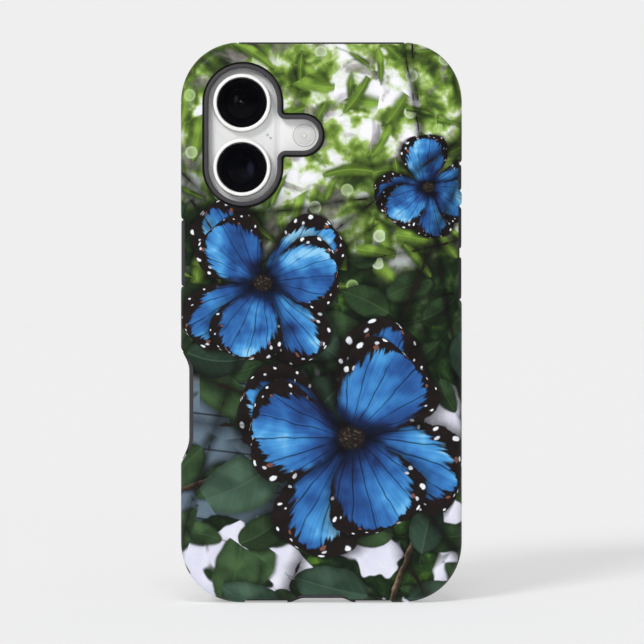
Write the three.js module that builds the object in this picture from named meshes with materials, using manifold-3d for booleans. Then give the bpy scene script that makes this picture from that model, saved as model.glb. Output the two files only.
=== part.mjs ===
// A smartphone in its two-layer protective case: a hard printed shell over a rubber liner.
//
// Millimetres. X runs to the right as seen from the printed back, Z is up, and the printed back
// faces -Y. The origin is the middle of the footprint, on the plane the case stands on.

import * as THREE from 'three';
import { mergeVertices } from 'three/addons/utils/BufferGeometryUtils.js';
import Module from 'manifold-3d';

const wasm = await Module();
wasm.setup();

// ---------------------------------------------------------------- driving dimensions

const GAP = 0.3;                 // clearance between neighbouring pieces

// the case, seen from its back
const CASE_WIDTH = 76.5;
const CASE_HEIGHT = 152.6;
const CORNER_REACH = 16.75;      // length of each edge that a corner's curve takes up
const CORNER_POWER = 2.1;        // 2 would be a plain arc; more runs into the edges more softly
const CORNER_STEPS = 9;

// the phone inside it, along Y
const PHONE_THICKNESS = 7.8;
const BACK_GLASS_Y = -2.5;
const SCREEN_Y = BACK_GLASS_Y + PHONE_THICKNESS;
const MID_Y = (BACK_GLASS_Y + SCREEN_Y) / 2;

// the walls of the case, counted inwards from its outline
const SHELL_WALL = 1.1;
const LINER_WALL = 0.8;
const LINER_OUT = SHELL_WALL + GAP;
const LINER_IN = LINER_OUT + LINER_WALL;
const PHONE_IN = LINER_IN + GAP;

// the back of the case, and its front edges, along Y
const SHELL_BACK = 1.2;
const LINER_BACK_Y = BACK_GLASS_Y - GAP - LINER_WALL;
const SHELL_INNER_Y = LINER_BACK_Y - GAP;
const SHELL_OUTER_Y = SHELL_INNER_Y - SHELL_BACK;
const SHELL_EDGE_RADIUS = 2.8;
const SHELL_FRONT_Y = 5.5;
const LIP_FRONT_Y = 6.4;
const LIP_REACH = 3.4;           // how far the liner's lip comes in over the screen

// the camera: two lenses in a pill, and a flash in a lobe beside it
const LENS_X = -21.6;
const LENS_Z = { upper: 135.98, lower: 118.35 };
const PILL_X = -21.33;
const PILL_HALF = 10.5;
const FLASH = { x: -4.6, z: 127.15, radius: 3.05 };
const LOBE_END_X = 0.4;
const LOBE_HALF = 5.45;
const LOBE_FILLET = 1.2;
const RIM_WIDTH = 1.15;          // the liner's raised rim round the camera, at its lip
const RIM_COLUMN = 0.5;          // and lower down
const RIM_HEIGHT = 3.9;          // above the back glass
const RIM_OVERHANG = 1.7;        // where the lip starts to reach in
const WINDOW_CLEARANCE = 0.35;   // between the rim and the shell

// the camera's own pieces, heights above the back glass
const PLATEAU_HEIGHT = 0.6;
// the plateau's edge falls away in a soft curve, through [half width, height]
const PLATEAU_EDGE = [[8.7, 0.6], [9.1, 0.52], [9.6, 0.2], [10.1, -0.1]];
const LENS_RING = { outer: 7.85, inner: 6.85, height: 3.4 };
const LENS_GLASS = { radius: 6.55, low: 2.45, high: 3.05 };
const LENS_SEGMENTS = 36;
const MICROPHONE = { x: -14.2, z: 126.85, radius: 0.3, spacing: 0.85, depth: 0.5 };

// the phone's body
const FRAME_EDGE = 0.55;         // width of metal left showing round each glass
const GLASS_THICKNESS = 0.7;
const FRAME_LIP = 0.3;           // how far each glass stands proud of the metal

// the keys. A covered key has a rubber pad of the liner over it; side is -1 for left
const COVERED_KEYS = [
  { name: 'power', side: -1, low: 86.2, high: 104.2 },
  { name: 'action', side: 1, low: 112.4, high: 119.4 },
  { name: 'volume_up', side: 1, low: 96.5, high: 107.8 },
  { name: 'volume_down', side: 1, low: 82.6, high: 94.1 },
];
const KEY_HALF_Y = 1.45;
const KEY_PROUD = 0.4;           // metal key, proud of the phone's side
const KEY_DEEP = 1.4;            // and how far it goes in
const KEY_END = 1.3;             // how much shorter it is than its pad, at each end
const POCKET_SLACK = 0.6;        // room under a key for its travel
const PAD_HALF_Y = 1.9;
const CAMERA_KEY = { z: 54.0, halfLength: 9.2, halfY: 1.6, proud: 0.1, deep: 1.1 };

// windows in the shell for the pads, each from its lowest pad's end to its highest one's, and the
// liner's panels that fill them. bite is how far the window cuts into the rounded back edge, and
// scoop how far the outline dips there
const KEY_WINDOWS = [
  { side: -1, low: 86.2, high: 104.2, bite: 1.1, scoop: 0.3 },
  { side: 1, low: 112.4, high: 119.4, bite: 1.0, scoop: 0.6 },
  { side: 1, low: 82.6, high: 107.8, bite: 1.0, scoop: 0.6 },
];
const WINDOW_Y = [-3.0, 4.5];
const WINDOW_END = 1.2;          // how far a window goes past its pads
const BITE_END = 0.4;
const SCOOP_END = 1.0;
const PANEL_INSET = 0.62;
const PANEL_ROOT = 0.05;         // how far a panel goes into the liner's wall to join it

// dips in the outline: along each edge from low to high, with a ramp at each end
const CONTROL_NOTCH = { edge: 'left', low: 37.6, high: 69.5, ramps: [7.5, 6.4] };
const RAMP_POWER = 1.3;          // how softly a ramp leaves the outline
const NOTCH_DEPTH = { shell: 3.45, liner: 2.3 };
const TOP_DIP = { edge: 'top', low: -24.2, high: 24.2, ramps: [3, 3], depth: 0.65 };
const BOTTOM_DIP = { edge: 'bottom', low: -21.2, high: 19.4, ramps: [1.2, 1.2], depth: 0.7 };
const PORT_DIP_SHELL = { edge: 'bottom', low: -9.4, high: 8.6, ramps: [5.0, 3.4], depth: 2.3 };
const PORT_DIP_LINER = { edge: 'bottom', low: -8.4, high: 8.5, ramps: [3.8, 3.2], depth: 1.25 };
const LAND_HALF = 9.3;           // the liner's two small feet end here
const OPENING_Y = -2.2;          // the shell is open to the front of this at top and bottom
const OPENING_HALF = { top: 22.8, bottom: 20.8 };
const BOTTOM_PANEL_Z = 0.55;

// ports in the bottom edge
const PORT = { halfX: 4.5, halfY: 1.65, depth: 7 };
const PORT_HOLE = { halfX: 6.3, halfY: 2.8 };
const PORT_TONGUE = { halfX: 3.35, halfY: 0.35, low: 4.3, high: 9.1 };
const SPEAKER = { x: 15.5, holes: 5, pitch: 2.4, radius: 0.75, depth: 1.4 };
const SPEAKER_SLOT = { halfX: 5.6, halfY: 1.3 };

// details in the screen glass
const FRONT_CAMERA = { x: 4.6, fromTop: 5.4, radius: 1.9 };
const EARPIECE = { halfX: 5.6, halfZ: 0.35, fromTop: 0.95, depth: 0.45 };

// ---------------------------------------------------------------- finishes

function finish(color, roughness, metalness) {
  return new THREE.MeshStandardMaterial({ color, roughness, metalness });
}

const FINISH = {
  printedShell: finish(0x2a5a8c, 0.35, 0),
  rubber: finish(0x4a484e, 0.75, 0),
  aluminium: finish(0xd9dbdc, 0.35, 1),
  whiteGlass: finish(0xe9ebea, 0.3, 0),
  blackGlass: finish(0x0a0b0f, 0.08, 0),
  blackPlastic: finish(0x141417, 0.5, 0),
  flash: finish(0xe4e3d8, 0.2, 0),
  polishedRing: finish(0xf0efec, 0.15, 1),
};

// ---------------------------------------------------------------- outlines, as lists of [u, v]

// the case's outline in X and Z, moved outwards by offset
function caseOutline(offset) {
  const points = [];
  const middle = CASE_HEIGHT / 2;
  const centreX = CASE_WIDTH / 2 - CORNER_REACH;
  const centreZ = CASE_HEIGHT / 2 - CORNER_REACH;
  const corners = [[1, 1, false], [-1, 1, true], [-1, -1, false], [1, -1, true]];
  for (const [signX, signZ, backwards] of corners) {
    for (let step = 0; step <= CORNER_STEPS; step += 1) {
      const share = (backwards ? CORNER_STEPS - step : step) / CORNER_STEPS;
      const cos = Math.cos(share * Math.PI / 2);
      const sin = Math.sin(share * Math.PI / 2);
      const reach = 2 / CORNER_POWER;
      const slope = 2 - reach;
      const normal = new THREE.Vector2(Math.abs(cos) ** slope, Math.abs(sin) ** slope).normalize();
      const x = centreX + CORNER_REACH * Math.abs(cos) ** reach + offset * normal.x;
      const z = centreZ + CORNER_REACH * Math.abs(sin) ** reach + offset * normal.y;
      points.push([signX * x, middle + signZ * z]);
    }
  }
  return points;
}

function arc(points, x, z, radius, from, to, steps) {
  for (let step = 0; step <= steps; step += 1) {
    const angle = THREE.MathUtils.degToRad(from + (to - from) * step / steps);
    points.push([x + radius * Math.cos(angle), z + radius * Math.sin(angle)]);
  }
}

// the camera rim's outline: a pill with a rounded lobe to its right, moved outwards by offset
function cameraOutline(offset) {
  const points = [];
  const half = PILL_HALF + offset;
  const lobe = LOBE_HALF + offset;
  const fillet = LOBE_FILLET - offset;
  const filletX = PILL_X + half + fillet;
  arc(points, LOBE_END_X - LOBE_HALF, FLASH.z, lobe, -90, 90, 10);
  arc(points, filletX, FLASH.z + lobe + fillet, fillet, 270, 180, 4);
  arc(points, PILL_X, LENS_Z.upper, half, 0, 180, 16);
  arc(points, PILL_X, LENS_Z.lower, half, 180, 360, 16);
  arc(points, filletX, FLASH.z - lobe - fillet, fillet, 180, 90, 4);
  return points;
}

function pillOutline(half) {
  const points = [];
  arc(points, PILL_X, LENS_Z.upper, half, 0, 180, 14);
  arc(points, PILL_X, LENS_Z.lower, half, 180, 360, 14);
  return points;
}

// a slot with round ends, its long side along V
function slotOutline(halfU, halfV, steps = 6) {
  const points = [];
  arc(points, 0, halfV - halfU, halfU, 0, 180, steps);
  arc(points, 0, halfU - halfV, halfU, 180, 360, steps);
  return points;
}

// a dip in one edge of the case: its two ramps run out softly into its floor
function dipOutline({ edge, low, high, ramps, depth }) {
  const steps = 6;
  const outside = 2;
  const sunk = (step) => depth * Math.sin(Math.PI / 2 * step / steps) ** RAMP_POWER;
  const profile = [[low, -outside]];
  for (let step = 0; step <= steps; step += 1) {
    profile.push([low + ramps[0] * step / steps, sunk(step)]);
  }
  for (let step = steps; step >= 0; step -= 1) {
    profile.push([high - ramps[1] * step / steps, sunk(step)]);
  }
  profile.push([high, -outside]);
  const place = {
    left: (along, inwards) => [inwards - CASE_WIDTH / 2, along],
    right: (along, inwards) => [CASE_WIDTH / 2 - inwards, along],
    top: (along, inwards) => [along, CASE_HEIGHT - inwards],
    bottom: (along, inwards) => [along, inwards],
  };
  return profile.map(([along, inwards]) => place[edge](along, inwards));
}

// ---------------------------------------------------------------- solids

function signedVolume(vertices, triangles) {
  const corner = (index) => new THREE.Vector3().fromArray(vertices, 3 * triangles[index]);
  let volume = 0;
  for (let i = 0; i < triangles.length; i += 3) {
    volume += corner(i).dot(corner(i + 1).cross(corner(i + 2))) / 6;
  }
  return volume;
}

// a closed geometry as a solid, with its faces turned outwards
function solid(geometry) {
  geometry.deleteAttribute('normal');
  geometry.deleteAttribute('uv');
  const merged = mergeVertices(geometry, 1e-5);
  const vertices = new Float32Array(merged.attributes.position.array);
  const triangles = [];
  for (let i = 0; i < merged.index.count; i += 3) {
    const [a, b, c] = [0, 1, 2].map((k) => merged.index.getX(i + k));
    if (a !== b && b !== c && c !== a) triangles.push(a, b, c);
  }
  if (signedVolume(vertices, triangles) < 0) triangles.reverse();
  const triVerts = new Uint32Array(triangles);
  return new wasm.Manifold(new wasm.Mesh({ numProp: 3, vertProperties: vertices, triVerts }));
}

const ALONG = {
  x: (u, v, w) => [w, u, v],
  y: (u, v, w) => [u, w, v],
  z: (u, v, w) => [u, v, w],
};

// a solid through a row of outlines with equal point counts, each at its own level of the axis
function loft(rings, levels, axis) {
  const count = rings[0].length;
  const positions = rings.flatMap((ring, i) => ring.flatMap(([u, v]) => ALONG[axis](u, v, levels[i])));
  const indices = [];
  for (let i = 0; i + 1 < rings.length; i += 1) {
    for (let k = 0; k < count; k += 1) {
      const a = i * count + k;
      const b = i * count + (k + 1) % count;
      indices.push(a, b, b + count, a, b + count, a + count);
    }
  }
  const flat = rings[0].map(([u, v]) => new THREE.Vector2(u, v));
  const turned = THREE.ShapeUtils.isClockWise(flat);
  const top = (rings.length - 1) * count;
  for (const [a, b, c] of THREE.ShapeUtils.triangulateShape(flat, [])) {
    indices.push(...(turned ? [a, b, c] : [a, c, b]));
    indices.push(...(turned ? [top + a, top + c, top + b] : [top + a, top + b, top + c]));
  }
  const geometry = new THREE.BufferGeometry();
  geometry.setAttribute('position', new THREE.Float32BufferAttribute(positions, 3));
  geometry.setIndex(turned ? indices.reverse() : indices);
  return geometry;
}

// the case's outline at a row of [inset, y] stations
function caseLoft(stations) {
  return solid(loft(stations.map(([inset]) => caseOutline(-inset)), stations.map(([, y]) => y), 'y'));
}

// one outline pushed straight from one level to another
function prism(outline, from, to, axis = 'y') {
  return solid(loft([outline, outline], [from, to], axis));
}

// stations of a quarter-round edge, from the flat face round to the side
function roundedEdge(inset, y, radius, steps) {
  const stations = [];
  for (let step = 0; step <= steps; step += 1) {
    const angle = Math.PI / 2 * step / steps;
    stations.push([inset + radius * (1 - Math.sin(angle)), y + radius * (1 - Math.cos(angle))]);
  }
  return stations;
}

// a box between two corners
function box(x0, x1, y0, y1, z0, z1) {
  const geometry = new THREE.BoxGeometry(x1 - x0, y1 - y0, z1 - z0);
  geometry.translate((x0 + x1) / 2, (y0 + y1) / 2, (z0 + z1) / 2);
  return solid(geometry);
}

// a turned piece with its axis along Y
function turned(profile, x = 0, z = 0, segments = LENS_SEGMENTS) {
  const geometry = new THREE.LatheGeometry(profile.map(([r, y]) => new THREE.Vector2(r, y)), segments);
  geometry.translate(x, 0, z);
  return solid(geometry);
}

function drill(radius, x, z, fromY, toY, segments) {
  return turned([[0, fromY], [radius, fromY], [radius, toY], [0, toY]], x, z, segments);
}

// a slot with round ends, cut or raised on the left or right side
function sideSlot(side, halfY, low, high, fromX, toX) {
  const middle = (low + high) / 2;
  const outline = slotOutline(halfY, (high - low) / 2).map(([y, z]) => [y + MID_Y, z + middle]);
  return prism(outline, side * fromX, side * toX, 'x');
}

// the same in the bottom edge, its long side along X
function bottomSlot(halfX, halfY, fromZ, toZ, middleX = 0) {
  const outline = slotOutline(halfY, halfX).map(([y, x]) => [x + middleX, y + MID_Y]);
  return prism(outline, fromZ, toZ, 'z');
}

function sideBox(side, fromX, toX, y0, y1, z0, z1) {
  return side < 0 ? box(-toX, -fromX, y0, y1, z0, z1) : box(fromX, toX, y0, y1, z0, z1);
}

function mesh(name, shape, material) {
  const { vertProperties, triVerts } = shape.getMesh();
  const geometry = new THREE.BufferGeometry();
  geometry.setAttribute('position', new THREE.Float32BufferAttribute(vertProperties, 3));
  geometry.setIndex(new THREE.Uint32BufferAttribute(triVerts, 1));
  geometry.computeVertexNormals();
  const piece = new THREE.Mesh(geometry, material);
  piece.name = name;
  return piece;
}

// ---------------------------------------------------------------- the hard shell

const HALF_WIDTH = CASE_WIDTH / 2;
const FAR = 12;                  // past every face, for cuts that go right through

// the full body of the case, without its cavity or openings
function caseBody(fromY, toY) {
  const radius = SHELL_EDGE_RADIUS;
  const stations = [...roundedEdge(0, SHELL_OUTER_Y, radius, 5), [0, SHELL_FRONT_Y - 0.3], [0.3, SHELL_FRONT_Y]];
  return caseLoft(stations).intersect(box(-HALF_WIDTH - 1, HALF_WIDTH + 1, fromY, toY, -1, CASE_HEIGHT + 1));
}

function dip(shape, depth, fromY = -FAR, toY = FAR) {
  return prism(dipOutline({ ...shape, depth }), fromY, toY);
}

function makeShell() {
  const cavityRadius = SHELL_EDGE_RADIUS - SHELL_BACK;
  const cavity = [...roundedEdge(SHELL_WALL, SHELL_INNER_Y, cavityRadius, 4), [SHELL_WALL, FAR]];
  let shell = caseBody(-FAR, FAR).subtract(caseLoft(cavity));
  shell = shell.subtract(prism(cameraOutline(WINDOW_CLEARANCE), -FAR, 0));

  for (const { side, low, high, bite, scoop } of KEY_WINDOWS) {
    const edge = side < 0 ? 'left' : 'right';
    const inner = HALF_WIDTH - SHELL_WALL - GAP;
    const [fromZ, toZ] = [low - WINDOW_END, high + WINDOW_END];
    const along = (end) => ({ edge, low: low - end, high: high + end, ramps: [end, end] });
    shell = shell.subtract(sideBox(side, inner, FAR + HALF_WIDTH, WINDOW_Y[0], WINDOW_Y[1], fromZ, toZ));
    shell = shell.subtract(dip(along(BITE_END), bite, -FAR, WINDOW_Y[0]));
    shell = shell.subtract(dip(along(SCOOP_END), scoop));
  }

  shell = shell.subtract(dip(CONTROL_NOTCH, NOTCH_DEPTH.shell));
  shell = shell.subtract(dip(TOP_DIP, TOP_DIP.depth));
  shell = shell.subtract(dip(BOTTOM_DIP, BOTTOM_DIP.depth));
  shell = shell.subtract(dip(PORT_DIP_SHELL, PORT_DIP_SHELL.depth));
  const { top, bottom } = OPENING_HALF;
  const wall = SHELL_WALL + GAP;
  shell = shell.subtract(box(-top, top, OPENING_Y, FAR, CASE_HEIGHT - wall, CASE_HEIGHT + 1));
  return shell.subtract(box(-bottom, bottom, OPENING_Y, FAR, -1, wall));
}

// ---------------------------------------------------------------- the rubber liner

// the thickened bands of rubber that come through the shell's openings to the outline
function linerPanels() {
  const back = OPENING_Y + GAP;
  const body = caseBody(back, LIP_FRONT_Y);
  const wall = LINER_IN - PANEL_ROOT;
  const top = OPENING_HALF.top - GAP;
  const bottom = OPENING_HALF.bottom - GAP;
  let panels = body.intersect(box(-top, top, back, FAR, CASE_HEIGHT - wall, CASE_HEIGHT));
  panels = panels.add(body.intersect(box(-bottom, bottom, back, FAR, BOTTOM_PANEL_Z, wall)));
  panels = panels.add(body.intersect(box(-LAND_HALF, LAND_HALF, back, FAR, 0, wall)));

  const { low, high } = CONTROL_NOTCH;
  const bezel = { ...CONTROL_NOTCH, low: low + GAP, high: high - GAP };
  const notch = dip(bezel, NOTCH_DEPTH.shell - GAP).intersect(caseBody(LINER_BACK_Y, FAR));
  panels = panels.add(notch);

  for (const window of KEY_WINDOWS) {
    const outer = HALF_WIDTH - PANEL_INSET;
    const inner = HALF_WIDTH - LINER_IN + PANEL_ROOT;
    const [fromY, toY] = [WINDOW_Y[0] + GAP, WINDOW_Y[1] - GAP];
    const [fromZ, toZ] = [window.low - WINDOW_END + GAP, window.high + WINDOW_END - GAP];
    panels = panels.add(sideBox(window.side, inner, outer, fromY, toY, fromZ, toZ));
  }
  return panels;
}

function cameraRim() {
  const top = BACK_GLASS_Y - RIM_HEIGHT;
  const rounding = 0.35;
  const outer = [-rounding, 0, 0].map(cameraOutline);
  const rim = solid(loft(outer, [top, top + rounding, LINER_BACK_Y + LINER_WALL], 'y'));
  const edge = [-RIM_WIDTH + rounding, -RIM_WIDTH, -RIM_WIDTH].map(cameraOutline);
  const lip = solid(loft(edge, [top - 0.01, top + rounding, FAR], 'y'));
  const column = prism(cameraOutline(-RIM_COLUMN), BACK_GLASS_Y - RIM_OVERHANG, FAR);
  return { rim, hole: lip.add(column) };
}

function makeLiner() {
  const lipRound = 1.0;
  const outer = [
    ...roundedEdge(LINER_OUT, LINER_BACK_Y, 1.3, 3),
    [LINER_OUT, LIP_FRONT_Y - lipRound],
    [LINER_OUT + 0.3 * lipRound, LIP_FRONT_Y - 0.3 * lipRound],
    [LINER_OUT + lipRound, LIP_FRONT_Y],
  ];
  const cavityY = LINER_BACK_Y + LINER_WALL;
  const cavity = [[LINER_IN + 0.45, cavityY], [LINER_IN, cavityY + 0.5], [LINER_IN, SCREEN_Y + GAP]];
  const screenHole = [[LIP_REACH, 0], [LIP_REACH, SCREEN_Y + 0.5], [LIP_REACH - 0.5, FAR]];
  const { rim, hole } = cameraRim();

  let liner = caseLoft(outer).add(linerPanels()).add(rim);
  liner = liner.subtract(caseLoft(cavity)).subtract(caseLoft(screenHole)).subtract(hole);
  liner = liner.subtract(dip(CONTROL_NOTCH, NOTCH_DEPTH.liner));
  liner = liner.subtract(dip(PORT_DIP_LINER, PORT_DIP_LINER.depth));
  liner = liner.subtract(bottomSlot(PORT_HOLE.halfX, PORT_HOLE.halfY, -1, PHONE_IN));
  for (const side of [-1, 1]) {
    liner = liner.subtract(bottomSlot(SPEAKER_SLOT.halfX, SPEAKER_SLOT.halfY, -1, PHONE_IN, side * SPEAKER.x));
  }
  for (const { side, low, high } of COVERED_KEYS) {
    const inner = HALF_WIDTH - PHONE_IN;
    liner = liner.subtract(sideSlot(side, PAD_HALF_Y + GAP, low - GAP, high + GAP, inner, HALF_WIDTH + 1));
  }
  return liner;
}

// ---------------------------------------------------------------- the phone

const phone = new THREE.Group();
const SIDE_X = HALF_WIDTH - PHONE_IN;
const FRAME_BACK_Y = BACK_GLASS_Y + FRAME_LIP;
const FRAME_FRONT_Y = SCREEN_Y - FRAME_LIP;
const GLASS_IN = PHONE_IN + FRAME_EDGE + GAP + 0.25;
const FLOOR_BACK_Y = BACK_GLASS_Y + GLASS_THICKNESS + GAP;
const FLOOR_FRONT_Y = SCREEN_Y - GLASS_THICKNESS - GAP;

// one block of metal, rounded along its edges, with a recess for each glass
function makeFrame() {
  const soft = [[FRAME_EDGE / 2, 0], [0.15, 0.35], [0, 0.9]];
  const stations = [
    ...soft.map(([inset, y]) => [PHONE_IN + inset, FRAME_BACK_Y + y]),
    ...[...soft].reverse().map(([inset, y]) => [PHONE_IN + inset, FRAME_FRONT_Y - y]),
  ];
  const recess = GLASS_IN - GAP;
  let frame = caseLoft(stations);
  frame = frame.subtract(caseLoft([[recess, -FAR], [recess, FLOOR_BACK_Y]]));
  frame = frame.subtract(caseLoft([[recess, FLOOR_FRONT_Y], [recess, FAR]]));

  for (const { side, low, high } of COVERED_KEYS) {
    const [from, to] = [low + KEY_END - GAP, high - KEY_END + GAP];
    const floor = SIDE_X - KEY_DEEP - POCKET_SLACK;
    frame = frame.subtract(sideSlot(side, KEY_HALF_Y + GAP, from, to, floor, SIDE_X + 1));
  }
  const { z, halfLength, halfY, deep } = CAMERA_KEY;
  const floor = SIDE_X - deep - POCKET_SLACK;
  frame = frame.subtract(sideSlot(-1, halfY + GAP, z - halfLength - GAP, z + halfLength + GAP, floor, SIDE_X + 1));

  frame = frame.subtract(bottomSlot(PORT.halfX, PORT.halfY, 0, PHONE_IN + PORT.depth));
  for (const side of [-1, 1]) {
    for (let hole = 0; hole < SPEAKER.holes; hole += 1) {
      const x = side * SPEAKER.x + (hole - (SPEAKER.holes - 1) / 2) * SPEAKER.pitch;
      const bore = slotOutline(SPEAKER.radius, SPEAKER.radius, 5).map(([u, v]) => [u + x, v + MID_Y]);
      frame = frame.subtract(prism(bore, 0, PHONE_IN + SPEAKER.depth, 'z'));
    }
  }
  return frame;
}

// the back glass is one pane, with the camera's plateau raised out of it
function makeBackGlass() {
  const inner = BACK_GLASS_Y + GLASS_THICKNESS;
  const plateauY = BACK_GLASS_Y - PLATEAU_HEIGHT;
  const pane = caseLoft([[GLASS_IN + 0.35, BACK_GLASS_Y], [GLASS_IN, BACK_GLASS_Y + 0.25], [GLASS_IN, inner]]);
  const plateau = PLATEAU_EDGE.map(([half]) => pillOutline(half));
  const levels = PLATEAU_EDGE.map(([, height]) => BACK_GLASS_Y - height);
  let glass = pane.add(solid(loft(plateau, levels, 'y')));
  for (const z of Object.values(LENS_Z)) {
    glass = glass.subtract(drill(LENS_RING.outer + GAP, LENS_X, z, -FAR, FAR));
  }
  glass = glass.subtract(drill(FLASH.radius + GAP, FLASH.x, FLASH.z, -FAR, FAR, 24));
  for (const side of [-0.5, 0.5]) {
    const x = MICROPHONE.x + side * MICROPHONE.spacing;
    const z = MICROPHONE.z - side * MICROPHONE.spacing;
    glass = glass.subtract(drill(MICROPHONE.radius, x, z, plateauY - 1, plateauY + MICROPHONE.depth, 8));
  }
  return glass;
}

// each lens is a polished ring, a stepped black barrel in it and a cover glass on top, modelled
// about its own axis with the back glass's face at y = 0
function makeLens(name, z) {
  const lens = new THREE.Group();
  const base = FLOOR_BACK_Y - GAP - BACK_GLASS_Y;
  const { outer, inner, height } = LENS_RING;
  const ring = turned([
    [inner, base], [outer, base], [outer, -height + 0.35], [outer - 0.3, -height],
    [inner + 0.15, -height], [inner, -height + 0.2], [inner, base],
  ]);
  const { radius, low, high } = LENS_GLASS;
  const barrel = turned([
    [0, base], [radius, base], [radius, -low + GAP], [4.6, -low + GAP], [4.2, -low + 0.9],
    [3.0, -low + 1.1], [2.6, -low + 1.8], [0, -low + 1.8],
  ]);
  const glass = turned([[0, -low], [radius, -low], [radius, -high + 0.1], [radius - 0.15, -high], [0, -high]]);
  lens.add(mesh(`lens_ring_${name}`, ring, FINISH.polishedRing));
  lens.add(mesh(`lens_barrel_${name}`, barrel, FINISH.blackPlastic));
  lens.add(mesh(`lens_glass_${name}`, glass, FINISH.blackGlass));
  lens.position.set(LENS_X, BACK_GLASS_Y, z);
  return lens;
}

// the flash: a small light under a round window flush with the back glass
function makeFlash() {
  const flash = new THREE.Group();
  const base = FLOOR_BACK_Y - GAP - BACK_GLASS_Y;
  const cup = turned([
    [0, base], [FLASH.radius, base], [FLASH.radius, 0.1], [FLASH.radius - 0.5, 0.1],
    [FLASH.radius - 0.9, base - 0.15], [0, base - 0.15],
  ], 0, 0, 24);
  const lit = turned([[0, 0.3], [1.1, 0.3], [1.1, -0.02], [0.8, -0.1], [0, -0.1]], 0, 0, 16);
  flash.add(mesh('flash_bowl', cup, FINISH.flash));
  flash.add(mesh('flash_light', lit, FINISH.flash));
  flash.position.set(FLASH.x, BACK_GLASS_Y, FLASH.z);
  return flash;
}

function makeScreen() {
  const inner = SCREEN_Y - GLASS_THICKNESS;
  const top = CASE_HEIGHT - PHONE_IN;
  const cameraZ = top - FRONT_CAMERA.fromTop;
  const slotZ = top - EARPIECE.fromTop - FRAME_EDGE;
  let glass = caseLoft([[GLASS_IN, inner], [GLASS_IN, SCREEN_Y - 0.25], [GLASS_IN + 0.35, SCREEN_Y]]);
  glass = glass.subtract(drill(FRONT_CAMERA.radius + GAP, FRONT_CAMERA.x, cameraZ, 0, FAR, 20));
  const slot = slotOutline(EARPIECE.halfZ, EARPIECE.halfX, 3).map(([z, x]) => [x, z + slotZ]);
  glass = glass.subtract(prism(slot, SCREEN_Y - EARPIECE.depth, FAR));
  const radius = FRONT_CAMERA.radius;
  const camera = turned([[0, inner], [radius, inner], [radius, SCREEN_Y - 0.1], [0, SCREEN_Y - 0.1]],
    FRONT_CAMERA.x, cameraZ, 20);
  phone.add(mesh('screen_glass', glass, FINISH.blackGlass));
  phone.add(mesh('front_camera', camera, FINISH.blackPlastic));
}

function makePort() {
  const { halfX, halfY, low, high } = PORT_TONGUE;
  phone.add(mesh('port_tongue', box(-halfX, halfX, MID_Y - halfY, MID_Y + halfY, low, high), FINISH.blackPlastic));
}

// ---------------------------------------------------------------- the keys and their pads

// a stadium with a softened outer end, its own origin on the phone's side
function softSlot(halfY, halfZ, from, to, soft) {
  const rings = [slotOutline(halfY, halfZ), slotOutline(halfY, halfZ), slotOutline(halfY - soft, halfZ - soft)];
  return solid(loft(rings, [from, to - soft, to], 'x'));
}

function makeKeys() {
  const keys = new THREE.Group();
  for (const { name, side, low, high } of COVERED_KEYS) {
    const halfZ = (high - low) / 2;
    const key = new THREE.Group();
    const metal = softSlot(KEY_HALF_Y, halfZ - KEY_END, -KEY_DEEP, KEY_PROUD, 0.2);
    const pad = softSlot(PAD_HALF_Y, halfZ, KEY_PROUD + GAP, PHONE_IN, 0.35);
    key.add(mesh(`key_${name}`, metal, FINISH.aluminium));
    key.add(mesh(`pad_${name}`, pad, FINISH.rubber));
    key.position.set(side * SIDE_X, MID_Y, (low + high) / 2);
    key.rotation.z = side < 0 ? Math.PI : 0;
    keys.add(key);
  }
  const { z, halfLength, halfY, proud, deep } = CAMERA_KEY;
  const control = mesh('key_camera', softSlot(halfY, halfLength, -deep, proud, 0.1), FINISH.aluminium);
  control.position.set(-SIDE_X, MID_Y, z);
  control.rotation.z = Math.PI;
  keys.add(control);
  return keys;
}

// ---------------------------------------------------------------- the whole

const whole = new THREE.Group();
whole.add(mesh('case_shell', makeShell(), FINISH.printedShell));
whole.add(mesh('case_liner', makeLiner(), FINISH.rubber));

phone.add(mesh('phone_frame', makeFrame(), FINISH.aluminium));
phone.add(mesh('back_glass', makeBackGlass(), FINISH.whiteGlass));
for (const [name, z] of Object.entries(LENS_Z)) phone.add(makeLens(name, z));
phone.add(makeFlash());
makeScreen();
makePort();
whole.add(phone);
whole.add(makeKeys());

export default whole;
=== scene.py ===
"""A smartphone in its two-layer protective case, seen from the printed back."""

import inspect
import math

import bmesh
import bpy
import numpy as np
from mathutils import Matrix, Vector


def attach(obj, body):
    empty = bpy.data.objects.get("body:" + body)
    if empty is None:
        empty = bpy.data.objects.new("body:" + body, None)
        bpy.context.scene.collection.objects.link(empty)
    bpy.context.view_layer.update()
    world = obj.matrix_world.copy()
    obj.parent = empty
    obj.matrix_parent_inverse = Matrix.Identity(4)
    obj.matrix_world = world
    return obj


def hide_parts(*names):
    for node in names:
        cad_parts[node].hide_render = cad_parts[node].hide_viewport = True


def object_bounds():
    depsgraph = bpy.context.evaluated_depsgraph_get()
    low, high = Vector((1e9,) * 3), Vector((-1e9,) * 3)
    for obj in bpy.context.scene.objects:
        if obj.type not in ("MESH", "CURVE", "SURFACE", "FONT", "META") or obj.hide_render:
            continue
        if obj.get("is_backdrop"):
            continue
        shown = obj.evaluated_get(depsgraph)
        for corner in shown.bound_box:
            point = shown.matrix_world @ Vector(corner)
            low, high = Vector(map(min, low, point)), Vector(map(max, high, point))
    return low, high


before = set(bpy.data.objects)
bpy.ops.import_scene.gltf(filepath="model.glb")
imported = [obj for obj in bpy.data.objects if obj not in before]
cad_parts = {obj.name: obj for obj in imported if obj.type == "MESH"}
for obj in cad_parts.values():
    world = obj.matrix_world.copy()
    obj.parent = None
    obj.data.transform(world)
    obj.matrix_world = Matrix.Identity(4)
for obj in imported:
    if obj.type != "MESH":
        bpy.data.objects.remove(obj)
cad_low, cad_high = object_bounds()
PHONE = "phone_in_case"
MM = 0.001

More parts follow.
